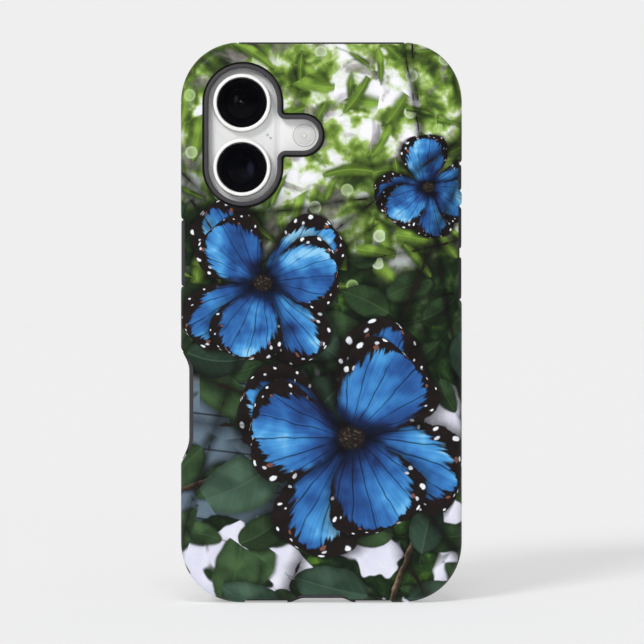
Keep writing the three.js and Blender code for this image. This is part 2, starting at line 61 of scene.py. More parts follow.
# ---------------------------------------------------------------- the studio
# A pale floor that runs out of sight under a big soft lamp, up on the left of the camera.
# The camera looks level at the printed back from half the case's height.

FRAME_PIXELS = 644
PIXELS_PER_M = 3670              # at the depth of SCALE_Y
SCALE_Y = -0.0023
FOOT_PIXEL = (321.4, 602.2)      # where the middle of the case's foot stands, from the top left
CAMERA_DISTANCE = 0.9
SENSOR = 36
PALE = 0.863                     # how bright the backdrop looks, and so the floor
FLOOR_GLOW = 0.359
FLOOR_PAINT = 0.75
FLOOR_REACH = 60
LAMPS = {                        # left and up from the camera's direction, how wide, how strong
    "big soft lamp": (27, 28, 16, 1.45),
    "overhead lamp": (0, 62, 16, 0.45),
    "front fill": (-6, 6, 40, 0.67),
}
STRIPS = {                       # where, its width and height, how strong
    "left strip": ((-0.9, -0.35, 0.35), 0.25, 0.9, 0.4),
    "right strip": ((0.9, -0.25, 0.3), 0.25, 0.9, 0.3),
    "top strip": ((0.0, -0.35, 1.0), 0.9, 0.25, 0.4),
}

studio = bpy.context.scene
studio.view_settings.view_transform = "Standard"

lens_data = bpy.data.cameras.new("camera")
lens_data.sensor_width = SENSOR
lens_data.lens = SENSOR * CAMERA_DISTANCE * PIXELS_PER_M / FRAME_PIXELS
camera = bpy.data.objects.new("camera", lens_data)
camera.location = (
    (FRAME_PIXELS / 2 - FOOT_PIXEL[0]) / PIXELS_PER_M,
    SCALE_Y - CAMERA_DISTANCE,
    (FOOT_PIXEL[1] - FRAME_PIXELS / 2) / PIXELS_PER_M,
)
camera.rotation_euler = (math.pi / 2, 0, 0)
studio.collection.objects.link(camera)
studio.camera = camera

middle = (cad_low + cad_high) / 2


def aim(lamp, place):
    """Hangs a lamp at a place and turns it to the middle of the case."""
    studio.collection.objects.link(lamp)
    lamp.location = place
    lamp.rotation_euler = (Vector(place) - middle).to_track_quat("Z", "Y").to_euler()


for name, (left, up, width, power) in LAMPS.items():
    sun = bpy.data.lights.new(name, "SUN")
    sun.angle = math.radians(width)
    sun.energy = power
    left, up = math.radians(left), math.radians(up)
    towards = Vector((-math.sin(left) * math.cos(up), -math.cos(left) * math.cos(up), math.sin(up)))
    lamp = bpy.data.objects.new(name, sun)
    lamp.visible_glossy = name == "big soft lamp"
    aim(lamp, middle + towards)

# The strips light only the gloss, so the floor keeps its even tone.
for name, (place, width, height, power) in STRIPS.items():
    strip = bpy.data.lights.new(name, "AREA")
    strip.shape = "RECTANGLE"
    strip.size, strip.size_y = width, height
    strip.energy = power
    lamp = bpy.data.objects.new(name, strip)
    lamp.visible_diffuse = False
    aim(lamp, place)


def pour(tree, socket, value):
    """Puts a node's output, an ink, a colour or a number on a socket."""
    value = getattr(value, "out", value)
    if isinstance(value, bpy.types.NodeSocket):
        tree.links.new(value, socket)
    elif isinstance(value, tuple) and len(value) < len(socket.default_value):
        socket.default_value = (*value, 1)
    else:
        socket.default_value = value


def add_node(tree, kind, sockets, **settings):
    """A new node with its settings and with values poured on its sockets."""
    node = tree.nodes.new("ShaderNode" + kind)
    for setting, value in settings.items():
        setattr(node, setting, value)
    for socket, value in sockets.items():
        pour(tree, node.inputs[socket], value)
    return node


# Round the case it is dim, and a little lighter away from the camera. The camera sees it pale.
sky = bpy.data.worlds.new("studio")
sky.use_nodes = True
studio.world = sky
tree = sky.node_tree
direction = add_node(tree, "TexCoord", {})
split = add_node(tree, "SeparateXYZ", {0: direction.outputs["Generated"]})
dusk = {"Value": split.outputs["Y"], "From Min": -0.96, "From Max": -0.6, "To Min": 0.05, "To Max": 0.32}
shade = add_node(tree, "MapRange", dusk, interpolation_type="SMOOTHSTEP")
around = tree.nodes["Background"]
pour(tree, around.inputs["Color"], shade.outputs[0])
seen = add_node(tree, "Background", {"Color": (PALE,) * 3})
ray = add_node(tree, "LightPath", {})
choices = {0: ray.outputs["Is Camera Ray"], 1: around.outputs[0], 2: seen.outputs[0]}
choose = add_node(tree, "MixShader", choices)
pour(tree, tree.nodes["World Output"].inputs["Surface"], choose.outputs[0])

floor_mesh = bpy.data.meshes.new("floor")
corners = [(x * FLOOR_REACH, y * FLOOR_REACH, 0) for x, y in [(-1, -1), (1, -1), (1, 1), (-1, 1)]]
floor_mesh.from_pydata(corners, [], [(0, 1, 2, 3)])
floor = bpy.data.objects.new("floor", floor_mesh)
studio.collection.objects.link(floor)
floor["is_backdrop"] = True
floor_finish = bpy.data.materials.new("pale floor")
floor_finish.use_nodes = True
tree = floor_finish.node_tree
glow = add_node(tree, "Emission", {"Color": (1, 1, 1), "Strength": FLOOR_GLOW})
paint = add_node(tree, "BsdfDiffuse", {"Color": (FLOOR_PAINT,) * 3})
both = add_node(tree, "AddShader", {0: glow.outputs[0], 1: paint.outputs[0]})
pour(tree, tree.nodes["Material Output"].inputs["Surface"], both.outputs[0])
floor_mesh.materials.append(floor_finish)

# ---------------------------------------------------------------- the print
# A print is dyed into the hard shell's surface: big blue blossoms with dark, white-dotted
# margins over leaves, and a blurred garden behind them. It is laid out flat, in millimetres,
# and the shell carries each point's place on it.


class Ink:
    """One value in a finish's node tree. Sums and products of inks add the nodes for them."""

    def __init__(self, tree, out):
        self.tree = tree
        self.out = out

    def math(self, operation, *others):
        return maths(self.tree, operation, self, *others)

    def __add__(self, other):
        return self.math("ADD", other)

    def __sub__(self, other):
        return self.math("SUBTRACT", other)

    def __mul__(self, other):
        return self.math("MULTIPLY", other)

    def __truediv__(self, other):
        return self.math("DIVIDE", other)

    def __rsub__(self, other):
        return maths(self.tree, "SUBTRACT", other, self)

    def __rtruediv__(self, other):
        return maths(self.tree, "DIVIDE", other, self)

    __radd__ = __add__
    __rmul__ = __mul__


def maths(tree, operation, *values):
    node = add_node(tree, "Math", dict(enumerate(values)), operation=operation)
    return Ink(tree, node.outputs[0])


def rise(value, low, high):
    """0 below low and 1 above high, with a soft slope between. It falls where low is above high."""
    sockets = {"Value": value, "From Min": low, "From Max": high}
    node = add_node(value.tree, "MapRange", sockets, interpolation_type="SMOOTHSTEP")
    return Ink(value.tree, node.outputs[0])


def mix(a, b, share):
    """From colour a to colour b as share goes from 0 to 1."""
    node = add_node(share.tree, "Mix", {0: share, 6: a, 7: b}, data_type="RGBA")
    return Ink(share.tree, node.outputs[2])


def tone(colour, strength):
    """A colour, or a direction, made stronger or weaker."""
    node = add_node(strength.tree, "VectorMath", {0: colour, 3: strength}, operation="SCALE")
    return Ink(strength.tree, node.outputs[0])


def ramp(value, stops):
    """A scale of colours, through (position, colour) stops."""
    node = add_node(value.tree, "ValToRGB", {0: value})
    scale = node.color_ramp
    for position, colour in stops[1:-1]:
        scale.elements.new(position).color = (*colour, 1)
    for element, (position, colour) in ((scale.elements[0], stops[0]), (scale.elements[-1], stops[-1])):
        element.position = position
        element.color = (*colour, 1)
    return Ink(value.tree, node.outputs[0])


def noise(place, size, detail, rough=0.5, warp=0.0, dimensions="2D"):
    """Cloudy noise, its lumps about size across."""
    sockets = {"Vector": place, "Scale": 1 / size, "Detail": detail, "Roughness": rough, "Distortion": warp}
    node = add_node(place.tree, "TexNoise", sockets, noise_dimensions=dimensions)
    return Ink(place.tree, node.outputs[0])


def shift(place, by, operation="ADD"):
    node = add_node(place.tree, "VectorMath", {0: place, 1: by}, operation=operation)
    return Ink(place.tree, node.outputs[0])


def turn(place, angle):
    node = add_node(place.tree, "VectorRotate", {"Vector": place, "Angle": angle}, rotation_type="Z_AXIS")
    return Ink(place.tree, node.outputs[0])


def parts(place):
    node = add_node(place.tree, "SeparateXYZ", {0: place})
    return [Ink(place.tree, out) for out in node.outputs]


def together(x, y):
    return Ink(x.tree, add_node(x.tree, "CombineXYZ", {0: x, 1: y}).outputs[0])


def scatter(place, spacing, jitter):
    """The place from the nearest spot of a scatter, its distance, and the spot's three chances."""
    sockets = {"Vector": place, "Scale": 1 / spacing, "Randomness": jitter}
    node = add_node(place.tree, "TexVoronoi", sockets, voronoi_dimensions="2D")
    local = shift(place, node.outputs["Position"], "SUBTRACT")
    distance = Ink(place.tree, node.outputs["Distance"]) * spacing
    chances = add_node(place.tree, "SeparateColor", {0: node.outputs["Color"]})
    return local, distance, [Ink(place.tree, out) for out in chances.outputs]


INPUT_KINDS = {"place": "Vector", "start": "Vector", "centre": "Vector",
               "picture": "Color", "dark": "Color", "light": "Color"}


def recipe(draw):
    """Makes a drawing function into a group of nodes that can be laid again and again.

    The group's inputs are the function's, and its result is the colour that the function draws.
    """
    tree = bpy.data.node_groups.new(draw.__name__, "ShaderNodeTree")
    labels = list(inspect.signature(draw).parameters)
    for label in labels:
        kind = INPUT_KINDS.get(label, "Float")
        tree.interface.new_socket(label, in_out="INPUT", socket_type="NodeSocket" + kind)
    tree.interface.new_socket("result", in_out="OUTPUT", socket_type="NodeSocketColor")
    given = tree.nodes.new("NodeGroupInput")
    made = tree.nodes.new("NodeGroupOutput")
    pour(tree, made.inputs[0], draw(*[Ink(tree, given.outputs[label]) for label in labels]))
    return tree


NEXT_TO_NOTHING = 1e-9


def lay(group, place, picture=None, *values):
    """Lays a recipe at a place, over a picture, with its other inputs in their order.

    The place waits for the picture, so that Cycles works out one layer at a time: all of
    them at once don't fit in its memory for one finish.
    """
    tree = place.tree
    if picture:
        sockets = {0: picture, 1: (NEXT_TO_NOTHING,) * 3, 2: place}
        place = add_node(tree, "VectorMath", sockets, operation="MULTIPLY_ADD").outputs[0]
    node = add_node(tree, "Group", {}, node_tree=group)
    for socket, value in zip(node.inputs, (place, picture, *values)):
        pour(tree, socket, value)
    return Ink(tree, node.outputs[0])


@recipe
def garden(place):
    """Far behind: sunlit leaves and white sky at the top, a slate wall at the left, and deep shade."""
    x, y, _ = parts(place)
    lumps = noise(place, 24, 2, 0.5, 0.3)
    tufts = noise(shift(place, (40, 7, 0)), 8, 2, 0.55, 0.3)
    flecks = noise(shift(place, (9, 31, 0)), 2.4, 2, 0.6, 0.2)
    open_sky = rise(y + 70 * (lumps - 0.5) + 0.35 * x, 84, 128)
    sunlit = ramp(0.5 + 1.7 * (tufts - 0.5) + 1.3 * (lumps - 0.45) + 0.4 * (flecks - 0.5), [
        (0.0, (0.014, 0.022, 0.008)), (0.3, (0.055, 0.1, 0.016)), (0.5, (0.15, 0.26, 0.035)),
        (0.65, (0.35, 0.5, 0.13)), (0.77, (0.72, 0.78, 0.66)), (0.92, (0.87, 0.87, 0.92)),
    ])
    bark = rise(noise(shift(place, (61, 17, 0)), 11, 3, 0.6, 0.4), 0.53, 0.66)
    sunlit = mix(sunlit, mix((0.06, 0.048, 0.042), (0.36, 0.32, 0.33), flecks), bark * 0.75)
    shade = ramp(0.4 + 1.2 * (tufts - 0.5) + 0.5 * (flecks - 0.5), [
        (0.0, (0.003, 0.006, 0.003)), (0.35, (0.006, 0.018, 0.005)), (0.62, (0.02, 0.055, 0.012)),
        (0.85, (0.09, 0.2, 0.02)), (1.0, (0.3, 0.42, 0.09)),
    ])
    picture = mix(shade, sunlit, open_sky)
    gaps = rise(noise(shift(place, (3, 77, 0)), 17, 2, 0.5, 0.25), 0.5, 0.53) * rise(y, 66, 48)
    picture = mix(picture, mix((0.62, 0.62, 0.78), (0.84, 0.84, 0.9), tufts), gaps)
    wall = rise(x + 18 * (lumps - 0.5), -4, -6) * rise(y + 9 * (tufts - 0.5), 22, 23) * rise(y, 61, 59)
    slab = mix((0.075, 0.115, 0.155), (0.15, 0.205, 0.26), tufts)
    joint = rise(((y + 0.12 * x) / 9.5 * 3.14).math("SINE").math("ABSOLUTE"), 0.14, 0.03)
    return mix(picture, tone(slab, 1 - 0.75 * joint), wall)


@recipe
def lights(place, picture, spacing, size, share, low):
    """Round, out-of-focus spots of light between the leaves, above a height."""
    local, distance, (pick, warm, _) = scatter(place, spacing, 1.0)
    height = parts(shift(place, local, "SUBTRACT"))[1]
    lit = rise(pick, 1 - share, 1.02 - share) * rise(height, low, low + 20)
    disc = rise(distance, size, size * 0.75) * lit * (0.35 + 0.4 * rise(distance, size * 0.4, size * 0.95))
    return mix(picture, mix((0.38, 0.6, 0.14), (0.86, 0.9, 0.84), warm), disc)


@recipe
def leaves(place, picture, spacing, length, wide, blur, dark, light, share, low, high, seed):
    """One leaf to each spot of a scatter, between two heights, each with its soft shadow."""
    moved = shift(place, tone((1.0, 1.7, 0.0), seed))
    local, _, (turned, growth, pick) = scatter(moved, spacing, 0.8)
    height = parts(shift(place, local, "SUBTRACT"))[1]
    present = rise(pick, 1 - share, 1.02 - share) * rise(height, low, low + 1) * rise(height, high, high - 1)
    chance = (turned * 7.3 + growth * 3.1).math("FRACT")

    x, y, _ = parts(turn(local, turned * 6.28))
    long = length * (0.55 + 0.8 * growth)
    u = x / long + 0.5
    v = y / long + (chance - 0.5) * 0.8 * (u - 0.5) * (u - 0.5)
    side = v.math("ABSOLUTE")
    waver = noise(local, 0.3 * length, 2) - 0.5
    oval = (4 * u * (1 - u)).math("MAXIMUM", 0).math("POWER", 0.62)
    edge = oval * (1.12 - 0.3 * u) * wide * 0.3 - side + waver * 0.05
    open_air = rise(parts(picture)[1], 0.25, 0.6)
    picture = tone(picture, 1 - 0.6 * rise(edge, -0.15, 0.01) * present * (1 - 0.85 * open_air))

    rib = rise(side, 0.012 + 0.014 * (1 - u), 0.004)
    vein = rise(((u - 0.85 * side + 0.02 * waver) * 46).math("SINE"), 0.6, 1.0) * rise(side, 0.0, 0.05)
    halves = 0.82 + 0.3 * rise(v, -0.02 - blur, 0.02 + blur)
    gloss = rise(noise(local, 0.45 * length, 1), 0.42, 0.78) * chance
    leaf = mix(dark, light, 0.12 + 0.35 * growth + 0.6 * gloss + 0.07 * vein + 0.5 * waver)
    leaf = tone(leaf, halves * (0.68 + 0.32 * rise(edge, 0.0, 0.09)) * (0.7 + 0.5 * chance))
    leaf = mix(leaf, light, rib * 0.4)
    return mix(picture, leaf, rise(edge, -1 * blur, blur) * present)


@recipe
def twig(place, picture, start, angle, length, width, sway):
    """A bent brown twig from its start, lit along its upper side."""
    x, y, _ = parts(turn(shift(place, start, "SUBTRACT"), angle))
    bent = y + sway * (x / length * 4.2).math("SINE") + 1.6 * (noise(place, 7, 2) - 0.5)
    half = width * (1 - 0.55 * x / length)
    off = bent.math("ABSOLUTE")
    ends = rise(x, 0, 0.5) * rise(x, length, length - 0.8)
    knots = noise(place, 1.2, 3, 0.6)
    bark = mix((0.035, 0.022, 0.014), (0.24, 0.165, 0.11), rise(bent / half + 1.5 * (knots - 0.5), -0.4, 1.1))
    picture = tone(picture, 1 - 0.55 * rise(half + 1.1 - off, 0, 1.1) * ends)
    return mix(picture, bark, rise(half * (0.75 + 0.5 * knots) - off, -0.06, 0.12) * ends)


@recipe
def petals(place, picture, radius, count, turned, seed, shadow):
    """One whorl of broad blue petals with a dark margin and white dots, over the picture."""
    x, y, _ = parts(tone(place, 1 / radius))
    sector = 2 * math.pi / count
    around = y.math("ARCTAN2", x) / sector + turned
    which = around.math("FLOOR")
    off_middle = (around - which - 0.5) * sector
    reach = (x * x + y * y).math("SQRT")
    chance = (which * 12.99 + seed).math("SINE") * 0.5 + 0.5
    u = reach * off_middle.math("COSINE") / (0.92 + 0.12 * chance)
    v = reach * off_middle.math("SINE")
    frill = noise(shift(place, tone((1.0, 0.0, 0.0), seed)), radius * 0.11, 3, 0.6)
    cloud = noise(shift(place, tone((3.3, 1.0, 0.0), seed)), radius * 0.34, 2, 0.5)
    wide = u * (1.02 - u).math("MAXIMUM", 0).math("POWER", 0.42) * (3.4 / count)
    edge = wide - v.math("ABSOLUTE") + (frill - 0.5) * 0.05 + (cloud - 0.5) * 0.08
    picture = tone(picture, 1 - shadow * rise(edge, -0.14, 0.02))

    along = together(off_middle * 26, reach * 2.2 + which * 7.7)
    streak = noise(along, 1.0, 3, 0.55)
    fold = rise(v + (cloud - 0.5) * 0.25, -0.18, 0.16)
    glow = rise(u, 0.0, 0.62) * (0.5 + 0.36 * streak) + (cloud - 0.48) * 1.1 + 0.1 * (frill - 0.5)
    glow = glow * (0.6 + 0.5 * fold) * (0.8 + 0.35 * chance)
    petal = ramp(glow, [
        (0.0, (0.004, 0.007, 0.03)), (0.16, (0.01, 0.03, 0.12)), (0.36, (0.018, 0.088, 0.3)),
        (0.56, (0.034, 0.18, 0.48)), (0.8, (0.07, 0.32, 0.67)), (1.0, (0.26, 0.58, 0.84)),
    ])
    fan = (off_middle / sector * 8 + (cloud - 0.5) * 0.5).math("FRACT")
    vein = rise((fan - 0.5).math("ABSOLUTE") * sector * reach / 8, 0.009, 0.003) * rise(u, 0.15, 0.3)
    petal = tone(petal, 1 - 0.75 * vein * rise(streak, 0.25, 0.5))

    finger = rise(noise(along, 1.5, 2, 0.6), 0.35, 0.7) * 0.075
    band = 0.04 + 0.13 * rise(u, 0.36, 0.95)
    margin = rise(edge - band - finger * rise(u, 0.35, 0.8), 0.03, -0.02) * rise(u, 0.14, 0.4)
    brown = mix((0.002, 0.0016, 0.002), (0.016, 0.0095, 0.008), frill)
    petal = mix(petal, brown, margin)
    tip = v.math("ARCTAN2", u - 0.55)
    for pitch, inset, size, colour in (
        (0.19, 0.034, 0.018, (0.8, 0.83, 0.88)), (0.27, 0.1, 0.015, (0.62, 0.64, 0.7)),
        (0.31, 0.15, 0.02, (0.2, 0.075, 0.055)),
    ):
        step = tip * 0.4 / pitch + chance + 2.0 * inset
        gap = (step.math("FRACT") - 0.5) * pitch
        lift = edge - inset
        grown = size * (1.0 + 0.35 * (step.math("FLOOR") * 7.1).math("SINE"))
        dot = (gap * gap + lift * lift).math("SQRT") + (frill - 0.5) * 0.016
        petal = mix(petal, colour, rise(dot, grown * 1.25, grown * 0.75) * rise(u, 0.42, 0.6) * margin)
    rounded = 0.5 + 0.5 * rise(edge + 0.3 * rise(u, 0.15, 0.5), 0.0, 0.28)
    return mix(picture, tone(petal, rounded), rise(edge, -0.006, 0.008))


@recipe
def blossom(place, picture, centre, radius, turned, seed):
    """Two whorls of petals and a dark, downy middle."""
    local = shift(place, centre, "SUBTRACT")
    wander = noise(local, radius * 0.8, 1) - 0.5
    local = shift(local, tone((0.14, 0.12, 0.0), wander * radius))
    picture = lay(petals, local, picture, radius, 4.0, turned, seed, 0.8)
    picture = lay(petals, local, picture, radius * 0.86, 3.0, turned + 0.3, seed + 2.1, 0.65)
    x, y, _ = parts(local)
    reach = (x * x + y * y).math("SQRT") / radius
    down = noise(local, radius * 0.03, 3, 0.7)
    rays = noise(together(y.math("ARCTAN2", x) * 9, reach * 3), 1, 2, 0.6)
    picture = tone(picture, 0.18 + 0.82 * rise(reach + 0.12 * (rays - 0.5), 0.05, 0.3))
    middle = mix((0.01, 0.007, 0.006), (0.13, 0.095, 0.07), rise(down, 0.5, 0.75))
    return mix(picture, middle, rise(reach + (down - 0.5) * 0.1, 0.125, 0.08))


def finish(name):
    """A new finish, still plain."""
    material = bpy.data.materials.new(name)
    material.use_nodes = True
    return material


def coat(material, sockets, grain=None, depth=0.0):
    """Sets a finish's sockets, and its bump from a grain that is depth metres deep."""
    tree = material.node_tree
    shader = tree.nodes["Principled BSDF"]
    for socket, value in sockets.items():
        pour(tree, shader.inputs[socket], value)
    if grain:
        bump = add_node(tree, "Bump", {"Height": grain, "Distance": depth})
        pour(tree, shader.inputs["Normal"], bump.outputs[0])


FRESH = ((0.042, 0.1, 0.012), (0.27, 0.44, 0.06))
DEEP = ((0.007, 0.02, 0.007), (0.06, 0.12, 0.045))
BLUISH = ((0.008, 0.024, 0.014), (0.07, 0.13, 0.085))
LAYERS = [                       # from the back to the front, each with its recipe's own inputs
    (leaves, 9, 12, 0.42, 0.075, *FRESH, 0.6, 84, 200, 3),
    (lights, 8.5, 1.9, 0.3, 70),
    (leaves, 13, 13, 0.95, 0.05, *DEEP, 0.7, -20, 108, 7),
    (twig, (-40, 30, 0), -0.5, 60, 0.8, 2.5),
    (leaves, 11, 13, 0.34, 0.035, *FRESH, 0.5, 88, 200, 19),
    (leaves, 16, 16, 1.05, 0.022, *DEEP, 0.75, -20, 96, 11),
    (twig, (18, -4, 0), -1.15, 50, 0.9, -2.0),
    (blossom, (29, 113, 0), 15, 0.4, 5),
    (leaves, 22, 21, 1.0, 0.012, *BLUISH, 0.6, -20, 84, 29),
    (blossom, (-16, 87, 0), 24, 0.1, 1),
    (blossom, (8, 45, 0), 33, 0.75, 3),
]

printed = finish("printed gloss")
attribute = add_node(printed.node_tree, "Attribute", {}, attribute_name="print_place")
place = Ink(printed.node_tree, attribute.outputs["Vector"])
picture = lay(garden, place)
for layer, *inputs in LAYERS:
    picture = lay(layer, place, picture, *inputs)
dye = noise(place, 0.4, 2, 0.6)
coat(printed, {
    "Base Color": tone(picture, 0.9 + 0.2 * dye),
    "Roughness": 0.4,
    "Specular IOR Level": 0.16,
}, noise(place, 1.6, 2), 15e-6)

# ---------------------------------------------------------------- the hard shell
# The outer layer of the case is one moulding of hard polycarbonate, printed all over and
# wrapped round the sides. Windows are cut in it for the camera and keys, and its edge dips
# at the camera key, at the top and at the charging port. Its sizes are in millimetres.

CASE_WIDTH = 76.5
CASE_HEIGHT = 152.6
HALF_WIDTH = CASE_WIDTH / 2
CORNER_REACH = 16.75
CORNER_POWER = 2.1               # 2 would be a circle's quarter
CORNER_STEPS = 26
GAP = 0.3                        # left between neighbouring pieces
SHELL_WALL = 1.1
SHELL_BACK = 1.2
SHELL_OUTER_Y = -5.1
SHELL_INNER_Y = SHELL_OUTER_Y + SHELL_BACK
SHELL_FRONT_Y = 5.5
EDGE_RADIUS = 2.8
FAR = 12.0                       # beyond the case, for tools that cut right through
LEAD_IN = 0.3                    # the softened front edge

LENS_X = -21.6
LENS_Z = {"upper": 135.98, "lower": 118.35}
PILL_X = -21.33
PILL_HALF = 10.5
FLASH_X, FLASH_Z = -4.6, 127.15
LOBE_END_X = 0.4
LOBE_HALF = 5.45
LOBE_FILLET = 1.2
WINDOW_CLEARANCE = 0.3

KEY_WINDOWS = [
    {"edge": "left", "low": 86.2, "high": 104.2, "bite": 1.1, "scoop": 0.3},
    {"edge": "right", "low": 112.4, "high": 119.4, "bite": 1.0, "scoop": 0.6},
    {"edge": "right", "low": 82.6, "high": 107.8, "bite": 1.0, "scoop": 0.6},
]
WINDOW_Y = (-3.0, 4.5)
WINDOW_END = 1.2
BITE_END = 0.4
SCOOP_END = 1.0
CONTROL_NOTCH = ("left", 37.6, 69.5, (7.5, 6.4))
SHELL_NOTCH_DEPTH = 3.45
RAMP_POWER = 1.3
TOP_DIP = ("top", -24.2, 24.2, (3.0, 3.0), 0.65)
BOTTOM_DIP = ("bottom", -21.2, 19.4, (1.2, 1.2), 0.95)
SHELL_PORT_DIP = ("bottom", -9.4, 8.6, (5.0, 3.4), 2.3)
OPENING_Y = -2.2
TOP_OPENING_HALF = 22.8
BOTTOM_OPENING_HALF = 20.8


def case_outline(inset):
    """The case's outline in X and Z, moved inwards by inset."""
    share = np.linspace(0, 1, CORNER_STEPS + 1)
    cos = np.clip(np.cos(share * math.pi / 2), 0, 1)
    sin = np.clip(np.sin(share * math.pi / 2), 0, 1)
    reach = 2 / CORNER_POWER
    slope_x, slope_z = cos ** (2 - reach), sin ** (2 - reach)
    steep = np.hypot(slope_x, slope_z)
    x = HALF_WIDTH - CORNER_REACH + CORNER_REACH * cos ** reach - inset * slope_x / steep
    z = CASE_HEIGHT / 2 - CORNER_REACH + CORNER_REACH * sin ** reach - inset * slope_z / steep
    quarters = [(x, z), (-x[::-1], z[::-1]), (-x, -z), (x[::-1], -z[::-1])]
    return np.concatenate([np.column_stack((u, v + CASE_HEIGHT / 2)) for u, v in quarters])


def arc(u, v, radius, start, end, steps):
    """Points round a centre, from one angle to another in degrees."""
    angle = np.radians(np.linspace(start, end, steps + 1))
    return np.column_stack((u + radius * np.cos(angle), v + radius * np.sin(angle)))


def pill_outline(half):
    """A pill round the two lenses."""
    return np.concatenate([arc(PILL_X, LENS_Z["upper"], half, 0, 180, 48),
                           arc(PILL_X, LENS_Z["lower"], half, 180, 360, 48)])


def camera_outline(offset):
    """The pill with a rounded lobe for the flash, moved outwards by offset."""
    half, lobe, fillet = PILL_HALF + offset, LOBE_HALF + offset, LOBE_FILLET - offset
    fillet_x = PILL_X + half + fillet
    return np.concatenate([
        arc(LOBE_END_X - LOBE_HALF, FLASH_Z, lobe, -90, 90, 30),
        arc(fillet_x, FLASH_Z + lobe + fillet, fillet, 270, 180, 12),
        pill_outline(half),
        arc(fillet_x, FLASH_Z - lobe - fillet, fillet, 180, 90, 12),
    ])


def dip_outline(edge, low, high, ramps, depth):
    """A dip in one edge of the case, its two ramps running out softly into its floor."""
    t = np.linspace(0, 1, 17)
    ease = depth * np.clip(np.sin(math.pi / 2 * t), 0, 1) ** RAMP_POWER
    along = np.concatenate([[low], low + ramps[0] * t, (high - ramps[1] * t)[::-1], [high]])
    outside = [-2.0]
    inwards = np.concatenate([outside, ease, ease[::-1], outside])
    if edge == "left":
        return np.column_stack((inwards - HALF_WIDTH, along))
    if edge == "right":
        return np.column_stack((HALF_WIDTH - inwards, along))
    if edge == "top":
        return np.column_stack((along, CASE_HEIGHT - inwards))
    return np.column_stack((along, inwards))


def quarter_round(inset, y, radius, steps):
    """Stations of a rounded back edge, as (inset, y), from the flat face round to the side."""
    angle = np.linspace(0, math.pi / 2, steps + 1)
    return list(zip(inset + radius * (1 - np.sin(angle)), y + radius * (1 - np.cos(angle))))


def closed(name, points, faces):
    """An object from points in millimetres, with its faces turned outwards."""
    mesh = bpy.data.meshes.new(name)
    mesh.from_pydata([tuple(point) for point in np.asarray(points) * MM], [], faces)
    work = bmesh.new()
    work.from_mesh(mesh)
    bmesh.ops.remove_doubles(work, verts=work.verts, dist=1e-7)
    bmesh.ops.dissolve_degenerate(work, edges=work.edges, dist=1e-7)
    bmesh.ops.recalc_face_normals(work, faces=work.faces)
    work.to_mesh(mesh)
    work.free()
    piece = bpy.data.objects.new(name, mesh)
    studio.collection.objects.link(piece)
    return piece


def solid(name, rings, levels, axis="y"):
    """A closed solid through outlines of equal point counts, each at its own level."""
    order = {"x": (2, 0, 1), "y": (0, 2, 1), "z": (0, 1, 2)}[axis]
    count = len(rings[0])
    layers = [np.column_stack((ring, np.full(count, level))) for ring, level in zip(rings, levels)]
    points = np.concatenate(layers)
    faces = [tuple(range(count)), tuple(range(len(points) - 1, len(points) - count - 1, -1))]
    for start in range(0, len(points) - count, count):
        for k in range(count):
            a, b = start + k, start + (k + 1) % count
            faces.append((b, a, a + count, b + count))
    return closed(name, points[:, order], faces)


def lofted(name, outline, stations):
    """A solid from back to front that follows an outline through its (offset, y) stations."""
    return solid(name, [outline(offset) for offset, _ in stations], [y for _, y in stations])


def case_solid(name, stations):
    return lofted(name, case_outline, stations)


def prism(outline, start, end, axis="y"):
    """A straight solid, mostly a tool for cutting."""
    return solid("tool", [outline, outline], [start, end], axis)


def box(x0, x1, y0, y1, z0, z1):
    return prism(np.array([(x0, z0), (x1, z0), (x1, z1), (x0, z1)]), y0, y1)


def side_box(edge, inner, outer, y0, y1, z0, z1):
    return box(-outer, -inner, y0, y1, z0, z1) if edge == "left" else box(inner, outer, y0, y1, z0, z1)


def dip(shape, start=-FAR, end=FAR):
    """A tool for a dip, which is given as its edge, its two ends, its ramps and its depth."""
    return prism(dip_outline(*shape), start, end)


def settle(piece):
    """Makes a piece's modifiers permanent, and drops the empty finishes that cutting leaves."""
    evaluated = piece.evaluated_get(bpy.context.evaluated_depsgraph_get())
    mesh = bpy.data.meshes.new_from_object(evaluated)
    piece.modifiers.clear()
    for empty in reversed([k for k, finish_there in enumerate(mesh.materials) if not finish_there]):
        mesh.materials.pop(index=empty)
    piece.data = mesh
    mesh.name = piece.name


def cover(piece, *finishes):
    for material in finishes:
        piece.data.materials.append(material)


def carve(piece, tools, operation="DIFFERENCE"):
    """Cuts the tools out of a piece, or joins them to it, and takes the tools away.

    Where the piece has a second finish, the walls that the tools leave get it.
    """
    inside = len(piece.data.materials) - 1
    for tool in tools:
        if inside > 0:
            cover(tool, *piece.data.materials)
            tool.data.polygons.foreach_set("material_index", [inside] * len(tool.data.polygons))
        modifier = piece.modifiers.new("carve", "BOOLEAN")
        modifier.solver = "MANIFOLD"
        modifier.operation = operation
        modifier.object = tool
    settle(piece)
    for tool in tools:
        bpy.data.objects.remove(tool)


def polish(piece, edge=0.0, angle=32, segments=2):
    """Merges slivers on flat faces, eases the hard edges and shades the rest smooth."""
    work = bmesh.new()
    work.from_mesh(piece.data)
    bmesh.ops.remove_doubles(work, verts=work.verts, dist=2e-6)
    bmesh.ops.dissolve_limit(work, angle_limit=math.radians(0.2), verts=work.verts, edges=work.edges)
    work.to_mesh(piece.data)
    work.free()
    if edge:
        ease = piece.modifiers.new("ease", "BEVEL")
        ease.width = edge * MM
        ease.segments = segments
        ease.limit_method = "ANGLE"
        ease.angle_limit = math.radians(angle)
        ease.use_clamp_overlap = True
    even = piece.modifiers.new("flat faces in triangles", "TRIANGULATE")
    even.min_vertices = 5
    settle(piece)
    piece.data.shade_smooth()
    piece.data.set_sharp_from_angle(angle=math.radians(angle))
    weigh = piece.modifiers.new("weigh", "WEIGHTED_NORMAL")
    weigh.keep_sharp = True
    settle(piece)


